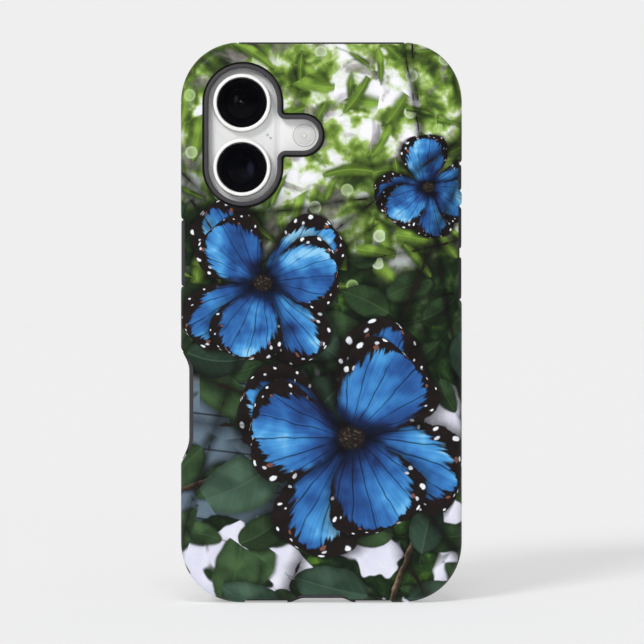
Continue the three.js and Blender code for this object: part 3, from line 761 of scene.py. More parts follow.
def body_stations(front):
    """The case's body from its rounded back edge to its front stations."""
    return [*quarter_round(0, SHELL_OUTER_Y, EDGE_RADIUS, 10), *front]


def own_place(material):
    """The piece's own coordinates, in millimetres."""
    tree = material.node_tree
    coordinates = add_node(tree, "TexCoord", {})
    return shift(Ink(tree, coordinates.outputs["Object"]), (1 / MM,) * 3, "MULTIPLY")


def deep_noise(place, size, detail, rough=0.5, warp=0.0):
    """Noise that runs on through the depth of a piece."""
    return noise(place, size, detail, rough, warp, "3D")


def mottled(name, grain, colours, roughness, depth, others=None):
    """A finish whose colour, roughness and bump all drift with one noise.

    The grain is that noise's size, detail and so on, and the roughness is (least, swing).
    """
    material = finish(name)
    drift = deep_noise(own_place(material), *grain)
    least, swing = roughness
    sockets = {"Base Color": mix(*colours, drift), "Roughness": least + swing * drift}
    coat(material, {**sockets, **(others or {})}, drift, depth)
    return material


def unrolled(piece):
    """Each point's place on the flat print, in millimetres, as the film wraps round the edges."""
    count = len(piece.data.vertices)
    points = np.empty(count * 3)
    piece.data.vertices.foreach_get("co", points)
    points = points.reshape(-1, 3) / MM
    flat = np.column_stack((points[:, 0], points[:, 2] - CASE_HEIGHT / 2))
    core = (HALF_WIDTH - CORNER_REACH, CASE_HEIGHT / 2 - CORNER_REACH)
    nearest = np.column_stack([np.clip(flat[:, k], -core[k], core[k]) for k in (0, 1)])
    outwards = flat - nearest
    distance = np.hypot(*outwards.T)
    outwards /= np.maximum(distance, 1e-6)[:, None]
    depth = points[:, 1] - SHELL_OUTER_Y
    angle = np.arccos(np.clip(1 - depth / EDGE_RADIUS, 0, 1))
    extra = EDGE_RADIUS * (angle - np.sin(angle)) + np.maximum(depth - EDGE_RADIUS, 0)
    flat += outwards * (extra * (distance > CORNER_REACH - EDGE_RADIUS - 0.5))[:, None]
    place = np.column_stack((flat[:, 0], flat[:, 1] + CASE_HEIGHT / 2, np.zeros(count)))
    layer = piece.data.attributes.new("print_place", "FLOAT_VECTOR", "POINT")
    layer.data.foreach_set("vector", place.astype(np.float32).ravel())


bare = mottled("bare shell plastic", (0.2, 3, 0.6), ((0.018, 0.018, 0.019), (0.032, 0.031, 0.033)),
               (0.45, 0.15), 8e-6)

lead_in = [(0, SHELL_FRONT_Y - LEAD_IN), (0.09, SHELL_FRONT_Y - 0.09), (LEAD_IN, SHELL_FRONT_Y)]
shell = case_solid("printed_shell", body_stations(lead_in))
cavity = quarter_round(SHELL_WALL, SHELL_INNER_Y, EDGE_RADIUS - SHELL_BACK, 5)
camera_window = [(WINDOW_CLEARANCE + 0.45, SHELL_OUTER_Y - 0.2), (WINDOW_CLEARANCE, SHELL_OUTER_Y + 0.25),
                 (WINDOW_CLEARANCE, 0)]
cuts = [case_solid("tool", [*cavity, (SHELL_WALL, FAR)]), lofted("tool", camera_outline, camera_window)]
for window in KEY_WINDOWS:
    edge, low, high = window["edge"], window["low"], window["high"]
    inner = HALF_WIDTH - SHELL_WALL - GAP
    bite = (edge, low - BITE_END, high + BITE_END, (BITE_END, BITE_END), window["bite"])
    scoop = (edge, low - SCOOP_END, high + SCOOP_END, (SCOOP_END, SCOOP_END), window["scoop"])
    cuts.append(side_box(edge, inner, HALF_WIDTH + FAR, *WINDOW_Y, low - WINDOW_END, high + WINDOW_END))
    cuts.append(dip(bite, -FAR, WINDOW_Y[0]))
    cuts.append(dip(scoop))
for shape in ((*CONTROL_NOTCH, SHELL_NOTCH_DEPTH), TOP_DIP, BOTTOM_DIP, SHELL_PORT_DIP):
    cuts.append(dip(shape))
wall = SHELL_WALL + GAP
cuts.append(box(-TOP_OPENING_HALF, TOP_OPENING_HALF, OPENING_Y, FAR, CASE_HEIGHT - wall, CASE_HEIGHT + 1))
cuts.append(box(-BOTTOM_OPENING_HALF, BOTTOM_OPENING_HALF, OPENING_Y, FAR, -1, wall))
cover(shell, printed, bare)
carve(shell, cuts)
polish(shell, 0.12)
unrolled(shell)
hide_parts("case_shell")
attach(shell, PHONE)

# ---------------------------------------------------------------- the rubber liner
# Inside the shell sits a dark grey rubber sleeve that the phone presses into. It shows as a
# raised rim round the camera, as bands in the shell's openings, and as the lip that curls
# over the edge of the screen. It is moulded in one piece and grips the shell.

BACK_GLASS_Y = -2.5
SCREEN_Y = 5.3
MID_Y = (BACK_GLASS_Y + SCREEN_Y) / 2
LINER_WALL = 0.8
LINER_OUT = SHELL_WALL + GAP
LINER_IN = LINER_OUT + LINER_WALL
PHONE_IN = LINER_IN + GAP
CAVITY_Y = BACK_GLASS_Y - GAP
LINER_BACK_Y = CAVITY_Y - LINER_WALL
LINER_CORNER = 1.3
LAP = 0.05                       # how far joined stretches of rubber run into each other
LIP_FRONT_Y = 6.4
LIP_REACH = 3.4
LIP_ROUND = 1.0
RIM_ROUND = 0.42
RIM_WIDTH = 1.15
RIM_COLUMN = 0.5
RIM_TOP_Y = BACK_GLASS_Y - 3.9
RIM_OVERHANG = 1.7
PANEL_INSET = 0.62
LAND_HALF = 9.3
BOTTOM_PANEL_Z = 0.42
LINER_NOTCH_DEPTH = 2.3
LINER_PORT_DIP = ("bottom", -8.4, 8.5, (3.8, 3.2), 1.1)
PORT_HOLE = (6.3, 2.8)
SPEAKER_SLOT = (5.6, 1.3)
SPEAKER_X = 15.5
COVERED_KEYS = {
    "power": ("left", 86.2, 104.2),
    "action": ("right", 112.4, 119.4),
    "volume_up": ("right", 96.5, 107.8),
    "volume_down": ("right", 82.6, 94.1),
}
PAD_HALF_Y = 1.9


def slot_outline(half_u, half_v, steps=14):
    """A slot with round ends, its long side along V."""
    return np.concatenate([arc(0, half_v - half_u, half_u, 0, 180, steps),
                           arc(0, half_u - half_v, half_u, 180, 360, steps)])


def lying_slot(half_u, half_v, middle):
    """A slot with its long side along U."""
    return slot_outline(half_v, half_u)[:, ::-1] + middle


def side_slot(edge, half_y, low, high, start, end):
    side = -1 if edge == "left" else 1
    outline = slot_outline(half_y, (high - low) / 2) + (MID_Y, (low + high) / 2)
    return prism(outline, side * start, side * end, "x")


def bottom_slot(half_x, half_y, start, end, middle_x=0.0):
    return prism(lying_slot(half_x, half_y, (middle_x, MID_Y)), start, end, "z")


def body_between(start, end):
    """The case's full rounded body, cut off at two levels."""
    front = [(0, SHELL_FRONT_Y - LEAD_IN), (0, SHELL_FRONT_Y - 0.2), (LEAD_IN, SHELL_FRONT_Y)]
    body = case_solid("tool", body_stations(front))
    carve(body, [box(-HALF_WIDTH - 1, HALF_WIDTH + 1, start, end, -1, CASE_HEIGHT + 1)], "INTERSECT")
    return body


def panel(x0, x1, start, z0, z1):
    """A band of rubber that comes out to the case's own outline."""
    body = body_between(start, LIP_FRONT_Y)
    carve(body, [box(x0, x1, start - 1, FAR, z0, z1)], "INTERSECT")
    return body


rubber = finish("satin rubber")
place = own_place(rubber)
fine = deep_noise(place, 0.12, 2, 0.6)
cloud = deep_noise(place, 6, 3, 0.6)
scuffed = rise(deep_noise(place, 1.4, 4, 0.7), 0.6, 0.8)
grey = mix((0.030, 0.028, 0.031), (0.042, 0.039, 0.044), cloud)
coat(rubber, {
    "Base Color": mix(grey, (0.055, 0.053, 0.058), scuffed * 0.3),
    "Roughness": 0.5 + 0.12 * cloud + 0.1 * scuffed,
    "IOR": 1.5,
}, fine, 12e-6)

lip = [(LINER_OUT + LIP_ROUND * (1 - math.cos(a)), LIP_FRONT_Y - LIP_ROUND * (1 - math.sin(a)))
       for a in np.linspace(0, math.pi / 2, 7)]
liner = case_solid("rubber_liner", [*quarter_round(LINER_OUT, LINER_BACK_Y, LINER_CORNER, 6), *lip])
cover(liner, rubber)
back = OPENING_Y + GAP
inner = LINER_IN - LAP
edge, low, high, ramps = CONTROL_NOTCH
notch_band = dip((edge, low + GAP, high - GAP, ramps, SHELL_NOTCH_DEPTH - GAP))
carve(notch_band, [body_between(LINER_BACK_Y, FAR)], "INTERSECT")
bands = [
    panel(GAP - TOP_OPENING_HALF, TOP_OPENING_HALF - GAP, back, CASE_HEIGHT - inner, CASE_HEIGHT),
    panel(GAP - BOTTOM_OPENING_HALF, BOTTOM_OPENING_HALF - GAP, back, BOTTOM_PANEL_Z, inner),
    panel(-LAND_HALF, LAND_HALF, back, -1, inner),
    notch_band,
]
for window in KEY_WINDOWS:
    ends = (window["low"] - WINDOW_END + GAP, window["high"] + WINDOW_END - GAP)
    levels = (WINDOW_Y[0] + GAP, WINDOW_Y[1] - GAP)
    reach = (HALF_WIDTH - LINER_IN + LAP, HALF_WIDTH - PANEL_INSET)
    bands.append(side_box(window["edge"], *reach, *levels, *ends))
round_top = quarter_round(0, RIM_TOP_Y, RIM_ROUND, 4)
rim = [*[(-inset, y) for inset, y in round_top], (0, CAVITY_Y)]
bands.append(lofted("tool", camera_outline, rim))
carve(liner, bands, "UNION")

mouth = [(inset - RIM_WIDTH, y) for inset, y in round_top]
mouth = [(mouth[0][0], RIM_TOP_Y - 0.5), *mouth, (-RIM_WIDTH, FAR)]
cuts = [
    case_solid("tool", [(LINER_IN + 0.45, CAVITY_Y), (LINER_IN, CAVITY_Y + 0.5), (LINER_IN, SCREEN_Y + GAP)]),
    case_solid("tool", [(LIP_REACH, 0), (LIP_REACH, SCREEN_Y + 0.45), (LIP_REACH - 0.12, SCREEN_Y + 0.75),
                        (LIP_REACH - 0.5, SCREEN_Y + 1.1), (LIP_REACH - 0.9, FAR)]),
    lofted("tool", camera_outline, mouth),
    prism(camera_outline(-RIM_COLUMN), BACK_GLASS_Y - RIM_OVERHANG, FAR),
    dip((*CONTROL_NOTCH, LINER_NOTCH_DEPTH)),
    dip(LINER_PORT_DIP),
    bottom_slot(*PORT_HOLE, -1, PHONE_IN),
    bottom_slot(*SPEAKER_SLOT, -1, PHONE_IN, SPEAKER_X),
    bottom_slot(*SPEAKER_SLOT, -1, PHONE_IN, -SPEAKER_X),
]
for edge, low, high in COVERED_KEYS.values():
    ends = (low - GAP, high + GAP)
    cuts.append(side_slot(edge, PAD_HALF_Y + GAP, *ends, HALF_WIDTH - PHONE_IN, HALF_WIDTH + 1))
carve(liner, cuts)
polish(liner, 0.1)
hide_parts("case_liner")
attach(liner, PHONE)

# ---------------------------------------------------------------- the phone's metal frame
# The phone is built round one block of aluminium, blasted with fine beads and anodised to a
# soft pale sheen. It shows in the port opening, behind the notch and at the screen's edge.

aluminium = finish("blasted aluminium")
place = own_place(aluminium)
blast = deep_noise(place, 0.07, 1)
cloud = deep_noise(place, 5, 3, 0.6)
coat(aluminium, {
    "Base Color": mix((0.66, 0.67, 0.68), (0.76, 0.765, 0.77), cloud),
    "Metallic": 1.0,
    "Roughness": 0.3 + 0.1 * cloud + 0.06 * blast,
}, blast, 6e-6)
metal_frame = bpy.data.objects["phone_frame"]
metal_frame.material_slots[0].material = aluminium

# ---------------------------------------------------------------- the keys
# Four small aluminium keys move in pockets in the frame, each under a rubber pad of the case
# that a thin web of the same rubber joins to the liner. The fifth, the camera key, is bare: a
# flush strip of polished crystal in a thin metal surround, in the notch on the left.

SIDE_X = HALF_WIDTH - PHONE_IN
KEY_HALF_Y = 1.45
KEY_PROUD = 0.4
KEY_DEEP = 1.4
KEY_END = 1.3                    # a key is that much shorter than its pad, at each end
KEY_EDGE = 0.2
PAD_EDGE = 0.5
PAD_DISH = 0.12
WEB = (0.1, 0.34)                # the thin rubber round a pad, from the phone's side
WEB_LAP = (0.1, 0.25)            # how far it runs into the liner, and under the pad
CAMERA_KEY_Z = 54.0
CAMERA_KEY_HALF = (1.6, 9.2)
CAMERA_KEY_PROUD = 0.1
CAMERA_KEY_DEEP = 1.1
CAMERA_KEY_EDGE = 0.12
GROOVE_INSET = 0.32
GROOVE_DEPTH = 0.08
CRYSTAL_INSET = 0.36


def soft_key(name, edge, half_y, half_z, middle_z, start, end, soft, dish=0.0):
    """A key with round ends and a soft outer edge, start and end counted from the phone's side."""
    bend = np.linspace(0, math.pi / 2, 6)
    stations = [(0, start), *[(soft * (1 - math.cos(a)), end - soft * (1 - math.sin(a))) for a in bend]]
    if dish:
        hollow = [(0.25, 0.2), (0.6, 0.8), (1.0, 1)]
        stations += [(soft + inset, end - share * dish) for inset, share in hollow]
    side = -1 if edge == "left" else 1
    rings = [slot_outline(half_y - inset, half_z - inset) + (MID_Y, middle_z) for inset, _ in stations]
    key = solid(name, rings, [side * (SIDE_X + x) for _, x in stations], "x")
    polish(key)
    return key


for name, (edge, low, high) in COVERED_KEYS.items():
    middle_z, half_z = (low + high) / 2, (high - low) / 2
    key = soft_key("metal_key_" + name, edge, KEY_HALF_Y, half_z - KEY_END, middle_z,
                   -KEY_DEEP, KEY_PROUD, KEY_EDGE)
    cover(key, aluminium)
    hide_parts("key_" + name)
    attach(key, name + "_key")
    pad = soft_key("key_pad_" + name, edge, PAD_HALF_Y, half_z, middle_z,
                   KEY_PROUD + GAP, PHONE_IN, PAD_EDGE, PAD_DISH)
    cover(pad, rubber)
    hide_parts("pad_" + name)
    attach(pad, name + "_key")
    out, under = WEB_LAP
    web = side_slot(edge, PAD_HALF_Y + GAP + out, low - GAP - out, high + GAP + out,
                    SIDE_X + WEB[0], SIDE_X + WEB[1])
    web.name = "pad_web_" + name
    carve(web, [side_slot(edge, PAD_HALF_Y - under, low + under, high - under, SIDE_X, SIDE_X + 1)])
    polish(web)
    cover(web, rubber)
    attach(web, PHONE)

bright = finish("polished key crystal")
place = own_place(bright)
smear = deep_noise(place, 1.6, 3, 0.6, 0.6)
coat(bright, {
    "Base Color": mix((0.62, 0.63, 0.65), (0.68, 0.69, 0.71), smear),
    "Metallic": 0.7,
    "Roughness": 0.06 + 0.12 * rise(smear, 0.5, 0.7),
    "Coat Weight": 0.8,
    "Coat Roughness": 0.04,
}, smear, 2e-6)
half_y, half_z = CAMERA_KEY_HALF
surround = soft_key("camera_key", "left", half_y, half_z, CAMERA_KEY_Z,
                    -CAMERA_KEY_DEEP, CAMERA_KEY_PROUD, CAMERA_KEY_EDGE)
groove = soft_key("tool", "left", half_y - GROOVE_INSET, half_z - GROOVE_INSET, CAMERA_KEY_Z,
                  CAMERA_KEY_PROUD - GROOVE_DEPTH, 1.0, 0.02)
carve(surround, [groove])
polish(surround)
cover(surround, aluminium)
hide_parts("key_camera")
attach(surround, "camera_key")
strip = soft_key("camera_key_crystal", "left", half_y - CRYSTAL_INSET, half_z - CRYSTAL_INSET, CAMERA_KEY_Z,
                 CAMERA_KEY_PROUD - GROOVE_DEPTH + 0.001, CAMERA_KEY_PROUD - 0.01, 0.03)
cover(strip, bright)
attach(strip, "camera_key")

# ---------------------------------------------------------------- the back glass
# One pane of milky white glass closes the phone's back. The plateau that carries the lenses
# rises out of the same pane with a soft foot all round it. Its face is painted darker, as
# painted shade, and the glass round it lighter, as painted light against the rim's shadow.
# Two pinholes between the lenses let sound in to a microphone.

FRAME_EDGE = 0.55
GLASS_IN = PHONE_IN + FRAME_EDGE + GAP + 0.25
GLASS_THICKNESS = 0.7
PLATEAU_RISE = 0.6
PLATEAU_Y = BACK_GLASS_Y - PLATEAU_RISE
PLATEAU_EDGE = (8.2, 10.3)       # where its foot starts and ends, from the lenses' centres
RING_OUTER = 7.85
FLASH_RADIUS = 3.05
PINHOLES = [(-14.62, 127.28), (-13.78, 126.42)]
PINHOLE_RADIUS = 0.36
PINHOLE_DEPTH = 0.5


def turned(name, profile, x, z, segments=96, level=0.0):
    """A turned piece with its axis along Y.

    Its (radius, y) points, y from a level, run from axis to axis or round a ring.
    """
    angles = np.linspace(0, 2 * math.pi, segments, endpoint=False)
    points = [(x + r * math.cos(a), level + y, z + r * math.sin(a)) for a in angles for r, y in profile]
    count = len(profile)
    loop = profile[0][0] > 0
    faces = []
    for turn_start in range(0, segments * count, count):
        beside = (turn_start + count) % (segments * count)
        for k in range(count if loop else count - 1):
            ahead = (k + 1) % count
            faces.append((turn_start + k, turn_start + ahead, beside + ahead, beside + k))
    return closed(name, points, faces)


def drill(radius, x, z, start, end, segments=96):
    return turned("tool", [(0, start), (radius, start), (radius, end), (0, end)], x, z, segments)


back_glass = case_solid("white_back_glass", [
    (GLASS_IN + 0.35, BACK_GLASS_Y), (GLASS_IN + 0.16, BACK_GLASS_Y + 0.05),
    (GLASS_IN + 0.04, BACK_GLASS_Y + 0.16), (GLASS_IN, BACK_GLASS_Y + 0.35),
    (GLASS_IN, BACK_GLASS_Y + GLASS_THICKNESS),
])
start, end = PLATEAU_EDGE
plateau = [(start + (end - start) * t, PLATEAU_Y + PLATEAU_RISE * t * t * (3 - 2 * t))
           for t in np.linspace(0, 1, 13)]
plateau.append((end, BACK_GLASS_Y + 0.2))
carve(back_glass, [lofted("tool", pill_outline, plateau)], "UNION")
cuts = [drill(RING_OUTER + 0.12, LENS_X, z, -FAR, FAR) for z in LENS_Z.values()]
cuts.append(drill(FLASH_RADIUS + 0.1, FLASH_X, FLASH_Z, -FAR, FAR))
for x, z in PINHOLES:
    cuts.append(turned("tool", [(0, -FAR), (0.42, -FAR), (0.42, 0), (PINHOLE_RADIUS, 0.08),
                                (PINHOLE_RADIUS, PINHOLE_DEPTH), (0, PINHOLE_DEPTH)], x, z, 32, PLATEAU_Y))
carve(back_glass, cuts)
polish(back_glass)

milk = finish("milky glass")
place = own_place(milk)
cloud = deep_noise(place, 9.0, 2)
# Painted light and shade: the flat glass is painted lighter, to lift the shadow of the rubber rim, and the
# plateau darker.
raised = rise(parts(place)[1], BACK_GLASS_Y - 0.1, PLATEAU_Y + 0.05)
satin = deep_noise(place, 0.05, 1)
dust = rise(deep_noise(place, 0.5, 3, 0.7), 0.68, 0.8)
coat(milk, {
    "Base Color": tone(mix((0.96, 0.965, 0.96), (0.80, 0.81, 0.805), raised), 0.97 + 0.05 * cloud),
    "Roughness": 0.16 + 0.1 * cloud + 0.2 * dust,
    "IOR": 1.5,
    "Coat Weight": 0.4,
    "Coat Roughness": 0.08,
}, satin, 1e-6)
cover(back_glass, milk)
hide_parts("back_glass")
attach(back_glass, PHONE)

hush = finish("woven microphone mesh")
place = own_place(hush)
weave = (parts(turn(place, 0.6))[0] * 40).math("SINE") * 0.25 + 0.5
coat(hush, {"Base Color": mix((0.40, 0.40, 0.405), (0.56, 0.56, 0.565), weave), "Roughness": 0.55},
     weave, 10e-6)
for number, (x, z) in enumerate(PINHOLES):
    mesh_disc = turned(f"microphone_mesh_{number + 1}", [
        (0, 0.12), (0.15, 0.1), (0.355, 0.14), (0.355, 0.48), (0, 0.48),
    ], x, z, 24, PLATEAU_Y)
    polish(mesh_disc)
    cover(mesh_disc, hush)
    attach(mesh_disc, PHONE)

# ---------------------------------------------------------------- the two lenses
# Each lens is a stepped black barrel in a polished metal ring. A curved, coated element of
# glass sits in the barrel, under a flat cover glass that lies just below
# the ring's edge.

RING_INNER = 6.85
RING_TOP = BACK_GLASS_Y - 3.4
COVER_RADIUS = 6.55
COVER_Y = (BACK_GLASS_Y - 3.05, BACK_GLASS_Y - 2.45)
SEAT_Y = COVER_Y[1] + 0.1
BASE_Y = BACK_GLASS_Y + GLASS_THICKNESS
BARREL_STEPS = 4                 # turned into its wall, so that it throws no light back
ELEMENT_RADIUS = 4.3

ring_metal = mottled("polished ring", (0.7, 2, 0.5, 0.3), ((0.91, 0.905, 0.885), (0.96, 0.955, 0.94)),
                     (0.38, 0.12), 3e-6, {"Metallic": 0.25})
barrel_black = mottled("black barrel", (0.25, 2), ((0.0044, 0.0044, 0.0066), (0.0076, 0.0076, 0.011)),
                       (0.65, 0.15), 4e-6, {"Specular IOR Level": 0.05})

cover_glass = finish("coated cover glass")
place = own_place(cover_glass)
smear = deep_noise(place, 2.4, 3, 0.6, 0.5)
coat(cover_glass, {
    "Base Color": mix((0.002, 0.002, 0.003), (0.005, 0.005, 0.006), smear),
    "Alpha": 0.25,
    "IOR": 1.4,
    "Specular IOR Level": 0,
    "Roughness": 0.03 + 0.04 * rise(smear, 0.55, 0.8),
})


def coated_glass(name, deep, sheen, ghosts=()):
    """Dark glass with a painted gleam towards its rim, and small painted glints and reflections.

    Each painted glint is (x, z, half-width, half-height, colour).
    """
    material = finish(name)
    place = own_place(material)
    tree = material.node_tree
    # Painted reflection: the base colour turns towards the sheen colour where the glass faces away from the
    # view.
    rim_light = Ink(tree, add_node(tree, "LayerWeight", {"Blend": 0.35}).outputs["Facing"])
    drift = deep_noise(place, 3.0, 2, 0.5, 0.4)
    gleam = mix(deep, sheen, rim_light * (0.5 + 0.5 * drift))
    x, _, z = parts(place)
    # Painted glints and reflections: small patches of lighter or tinted colour on the element.
    for ghost_x, ghost_z, half_x, half_z, colour in ghosts:
        across, up = (x - ghost_x) / half_x, (z - ghost_z) / half_z
        distance = (across * across + up * up).math("SQRT") + 0.4 * (drift - 0.5)
        gleam = mix(gleam, colour, rise(distance, 1.2, 0.6))
    coat(material, {
        "Base Color": gleam,
        "Roughness": 0.05 + 0.04 * drift,
        "IOR": 1.35,
        "Specular IOR Level": 0.22,
    })
    return material


# Painted glints and reflections on each front element, listed as patches.
amber = coated_glass("amber coating", (0.0038, 0.0038, 0.0056), (0.012, 0.010, 0.005), [
    (-23.2, 137.0, 0.6, 0.9, (0.055, 0.051, 0.041)),
    (-21.95, 136.35, 0.36, 0.3, (0.24, 0.25, 0.245)),
    (-21.3, 135.95, 0.3, 0.26, (0.06, 0.075, 0.08)),
])
blue = coated_glass("blue coating", (0.0036, 0.0040, 0.0064), (0.005, 0.007, 0.018), [
    (-19.3, 118.1, 1.0, 1.9, (0.026, 0.034, 0.064)),
    (-20.6, 116.2, 1.4, 0.9, (0.011, 0.013, 0.022)),
])

for name, z in LENS_Z.items():
    ring = turned("lens_edge_" + name, [
        (RING_INNER, BASE_Y), (RING_OUTER, BASE_Y), (RING_OUTER, RING_TOP + 0.45),
        (RING_OUTER - 0.05, RING_TOP + 0.22), (RING_OUTER - 0.2, RING_TOP + 0.06),
        (RING_OUTER - 0.4, RING_TOP), (RING_INNER + 0.22, RING_TOP), (RING_INNER + 0.1, RING_TOP + 0.04),
        (RING_INNER, RING_TOP + 0.16),
    ], LENS_X, z, 128)
    polish(ring)
    cover(ring, ring_metal)
    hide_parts("lens_ring_" + name)
    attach(ring, PHONE)

    stepped = [(0, BASE_Y), (COVER_RADIUS, BASE_Y), (COVER_RADIUS, SEAT_Y), (5.5, SEAT_Y),
               (5.35, SEAT_Y + 0.12), (5.3, SEAT_Y + 0.45)]
    for k in range(BARREL_STEPS):
        radius = 5.2 - 0.18 * k
        stepped += [(radius, SEAT_Y + 0.5 + 0.22 * k), (radius - 0.06, SEAT_Y + 0.7 + 0.22 * k)]
    stepped += [(4.5, SEAT_Y + 1.5), (4.35, SEAT_Y + 1.75), (0, SEAT_Y + 1.8)]
    barrel = turned("barrel_" + name, stepped, LENS_X, z, 128)
    polish(barrel)
    cover(barrel, barrel_black)
    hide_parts("lens_barrel_" + name)
    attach(barrel, PHONE)

    bulge = [(ELEMENT_RADIUS * t, SEAT_Y + 1.0 + 0.5 * t * t) for t in np.linspace(0, 1, 12)]
    element = turned("front_element_" + name, [
        *bulge, (ELEMENT_RADIUS, SEAT_Y + 1.74), (0, SEAT_Y + 1.74),
    ], LENS_X, z)
    polish(element)
    cover(element, amber if name == "upper" else blue)
    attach(element, PHONE)

    pane = turned("cover_glass_" + name, [
        (0, COVER_Y[0]), (COVER_RADIUS - 0.16, COVER_Y[0]), (COVER_RADIUS - 0.05, COVER_Y[0] + 0.05),
        (COVER_RADIUS, COVER_Y[0] + 0.16), (COVER_RADIUS, COVER_Y[1]), (0, COVER_Y[1]),
    ], LENS_X, z)
    polish(pane)
    cover(pane, cover_glass)
    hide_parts("lens_glass_" + name)
    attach(pane, PHONE)

# ---------------------------------------------------------------- the flash
# A warm little lamp sits at the bottom of a white bowl, under a round window moulded with
# fine rings that spread its light. The window is flush with the back glass.

RIDGES = 8
RIDGE_PITCH = 0.22
RIDGE_HEIGHT = 0.13
WINDOW_THICKNESS = 0.3

bowl_white = mottled("bowl plastic", (0.8, 2), ((0.80, 0.80, 0.77), (0.86, 0.86, 0.84)), (0.28, 0.1), 4e-6)
bowl = turned("flash_cup", [
    (0, BASE_Y), (FLASH_RADIUS, BASE_Y), (FLASH_RADIUS, BACK_GLASS_Y + 0.14), (2.92, BACK_GLASS_Y + 0.06),
    (2.66, BACK_GLASS_Y + 0.06), (2.56, BACK_GLASS_Y + 0.12), (2.3, BASE_Y - 0.22), (0, BASE_Y - 0.15),
], FLASH_X, FLASH_Z)
polish(bowl)
cover(bowl, bowl_white)
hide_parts("flash_bowl")
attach(bowl, PHONE)

window_plastic = mottled("ringed window", (0.9, 2), ((0.92, 0.93, 0.925), (0.96, 0.965, 0.955)),
                         (0.16, 0.06), 3e-6, {"Transmission Weight": 0.1, "IOR": 1.49})
ridges = []
for k in range(RIDGES):
    start = 0.66 + RIDGE_PITCH * k
    ridges += [(start, RIDGE_HEIGHT), (start + 0.05, 0), (start + RIDGE_PITCH - 0.04, RIDGE_HEIGHT)]
window = turned("flash_window", [
    (0.64, WINDOW_THICKNESS), (0.64, RIDGE_HEIGHT), *ridges, (2.53, 0.1), (2.5, 0.16),
    (2.4, WINDOW_THICKNESS),
], FLASH_X, FLASH_Z, 128, BACK_GLASS_Y)
polish(window, angle=20)
cover(window, window_plastic)
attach(window, PHONE)

phosphor = finish("warm lamp")
place = own_place(phosphor)
grain = deep_noise(place, 0.06, 2, 0.6)
coat(phosphor, {
    "Base Color": mix((0.97, 0.91, 0.77), (0.99, 0.97, 0.90), grain),
    "Roughness": 0.3,
    "Coat Weight": 1.0,
    "Coat Roughness": 0.05,
}, grain, 4e-6)
lamp = turned("flash_lamp", [
    (0, -0.02), (0.2, -0.01), (0.38, 0.03), (0.5, 0.09), (0.57, 0.17), (0.6, WINDOW_THICKNESS),
    (0, WINDOW_THICKNESS),
], FLASH_X, FLASH_Z, 64, BACK_GLASS_Y)
polish(lamp)
cover(lamp, phosphor)
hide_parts("flash_light")
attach(lamp, PHONE)

# ---------------------------------------------------------------- the screen
# The front is one sheet of polished black glass over the dark display, ground round at its
# edge. The front camera looks out near the top, above it a slot for the earpiece.

FRONT_CAMERA = (4.6, CASE_HEIGHT - PHONE_IN - 5.4)
FRONT_CAMERA_RADIUS = 1.9
EARPIECE_HALF = (5.6, 0.35)
EARPIECE_DEPTH = 0.45
EARPIECE_AT = (0, CASE_HEIGHT - PHONE_IN - 0.95 - FRAME_EDGE)
MESH_CLEARANCE = 0.02
DISPLAY_INSET = (4.9, 5.0)       # where the dark display starts, in from the case's outline

screen = case_solid("screen", [
    (GLASS_IN, SCREEN_Y - GLASS_THICKNESS), (GLASS_IN, SCREEN_Y - 0.35), (GLASS_IN + 0.04, SCREEN_Y - 0.17),
    (GLASS_IN + 0.16, SCREEN_Y - 0.05), (GLASS_IN + 0.35, SCREEN_Y),
])
slot = lying_slot(*EARPIECE_HALF, EARPIECE_AT)
carve(screen, [drill(FRONT_CAMERA_RADIUS + 0.1, *FRONT_CAMERA, 0, FAR),
               prism(slot, SCREEN_Y - EARPIECE_DEPTH, FAR)])
polish(screen)
black_glass = finish("black screen glass")
place = own_place(black_glass)
x, _, z = parts(place)
from_ends = CASE_HEIGHT / 2 - (z - CASE_HEIGHT / 2).math("ABSOLUTE")
inset = (HALF_WIDTH - x.math("ABSOLUTE")).math("MINIMUM", from_ends)
display = rise(inset, *DISPLAY_INSET)
smear = rise(deep_noise(place, 14.0, 4, 0.6, 1.2), 0.45, 0.75)
coat(black_glass, {
    "Base Color": mix((0.0035, 0.0035, 0.004), (0.009, 0.0095, 0.011), display),
    "Roughness": 0.03 + 0.07 * smear,
    "IOR": 1.52,
})
cover(screen, black_glass)
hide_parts("screen_glass")
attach(screen, PHONE)

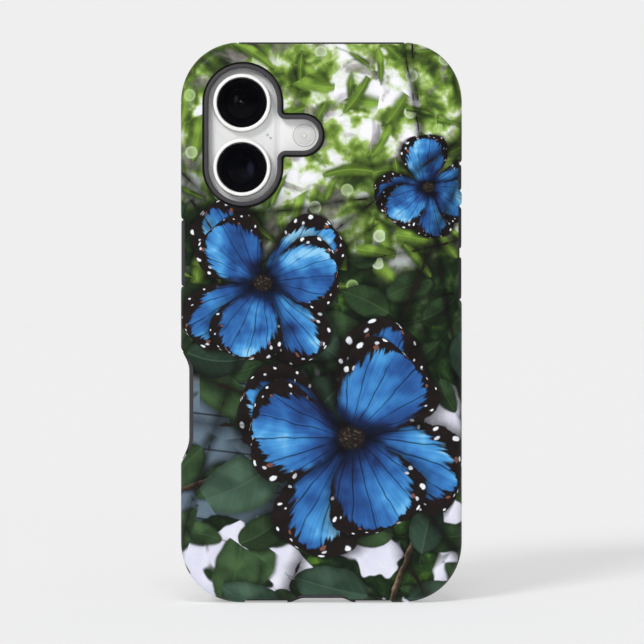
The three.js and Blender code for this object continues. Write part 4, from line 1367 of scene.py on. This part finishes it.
selfie = turned("front_camera_lens", [
    (0, -0.62), (0.35, -0.6), (0.62, -0.5), (0.75, -0.36), (0.9, -0.3), (0.96, -0.1),
    (FRONT_CAMERA_RADIUS - 0.1, -0.06), (FRONT_CAMERA_RADIUS, -0.14),
    (FRONT_CAMERA_RADIUS, -GLASS_THICKNESS), (0, -GLASS_THICKNESS),
], *FRONT_CAMERA, 64, SCREEN_Y)
polish(selfie)
cover(selfie, blue)
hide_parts("front_camera")
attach(selfie, PHONE)

long, short = EARPIECE_HALF
earpiece = prism(lying_slot(long - MESH_CLEARANCE, short - MESH_CLEARANCE, EARPIECE_AT),
                 SCREEN_Y - EARPIECE_DEPTH + 0.01, SCREEN_Y - 0.2)
earpiece.name = "earpiece_mesh"
polish(earpiece, 0.04)
cover(earpiece, barrel_black)
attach(earpiece, PHONE)

# ---------------------------------------------------------------- the charging port
# A thin plastic tongue stands in the middle of the port, with a row of gold-plated contacts
# along each face.

PORT_TONGUE = (3.35, 0.35)
TONGUE_Z = (4.3, 9.1)
CONTACTS = 12                    # along each face
CONTACT_PITCH = 0.5
CONTACT_HALF = (0.13, 0.025)
CONTACT_Z = (TONGUE_Z[0] + 0.4, TONGUE_Z[1] - 0.6)

tongue = bottom_slot(*PORT_TONGUE, *TONGUE_Z)
tongue.name = "port_tongue_plastic"
polish(tongue, 0.08)
cover(tongue, barrel_black)
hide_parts("port_tongue")
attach(tongue, PHONE)

gold = mottled("gold plating", (0.3, 3, 0.6), ((0.75, 0.52, 0.22), (0.86, 0.64, 0.32)), (0.22, 0.15), 3e-6,
               {"Metallic": 1.0})
contacts = []
half_x, half_y = CONTACT_HALF
for k in range(CONTACTS):
    x = (k - (CONTACTS - 1) / 2) * CONTACT_PITCH
    for face in (-1, 1):
        y = MID_Y + face * PORT_TONGUE[1]
        contacts.append(box(x - half_x, x + half_x, y - half_y, y + half_y, *CONTACT_Z))
plated = contacts[0]
plated.name = "port_contacts"
carve(plated, contacts[1:], "UNION")
polish(plated, 0.01)
cover(plated, gold)
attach(plated, PHONE)

# ---------------------------------------------------------------- the size
# The dressed model's box is kept beside the one it was cut to.

low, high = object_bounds()
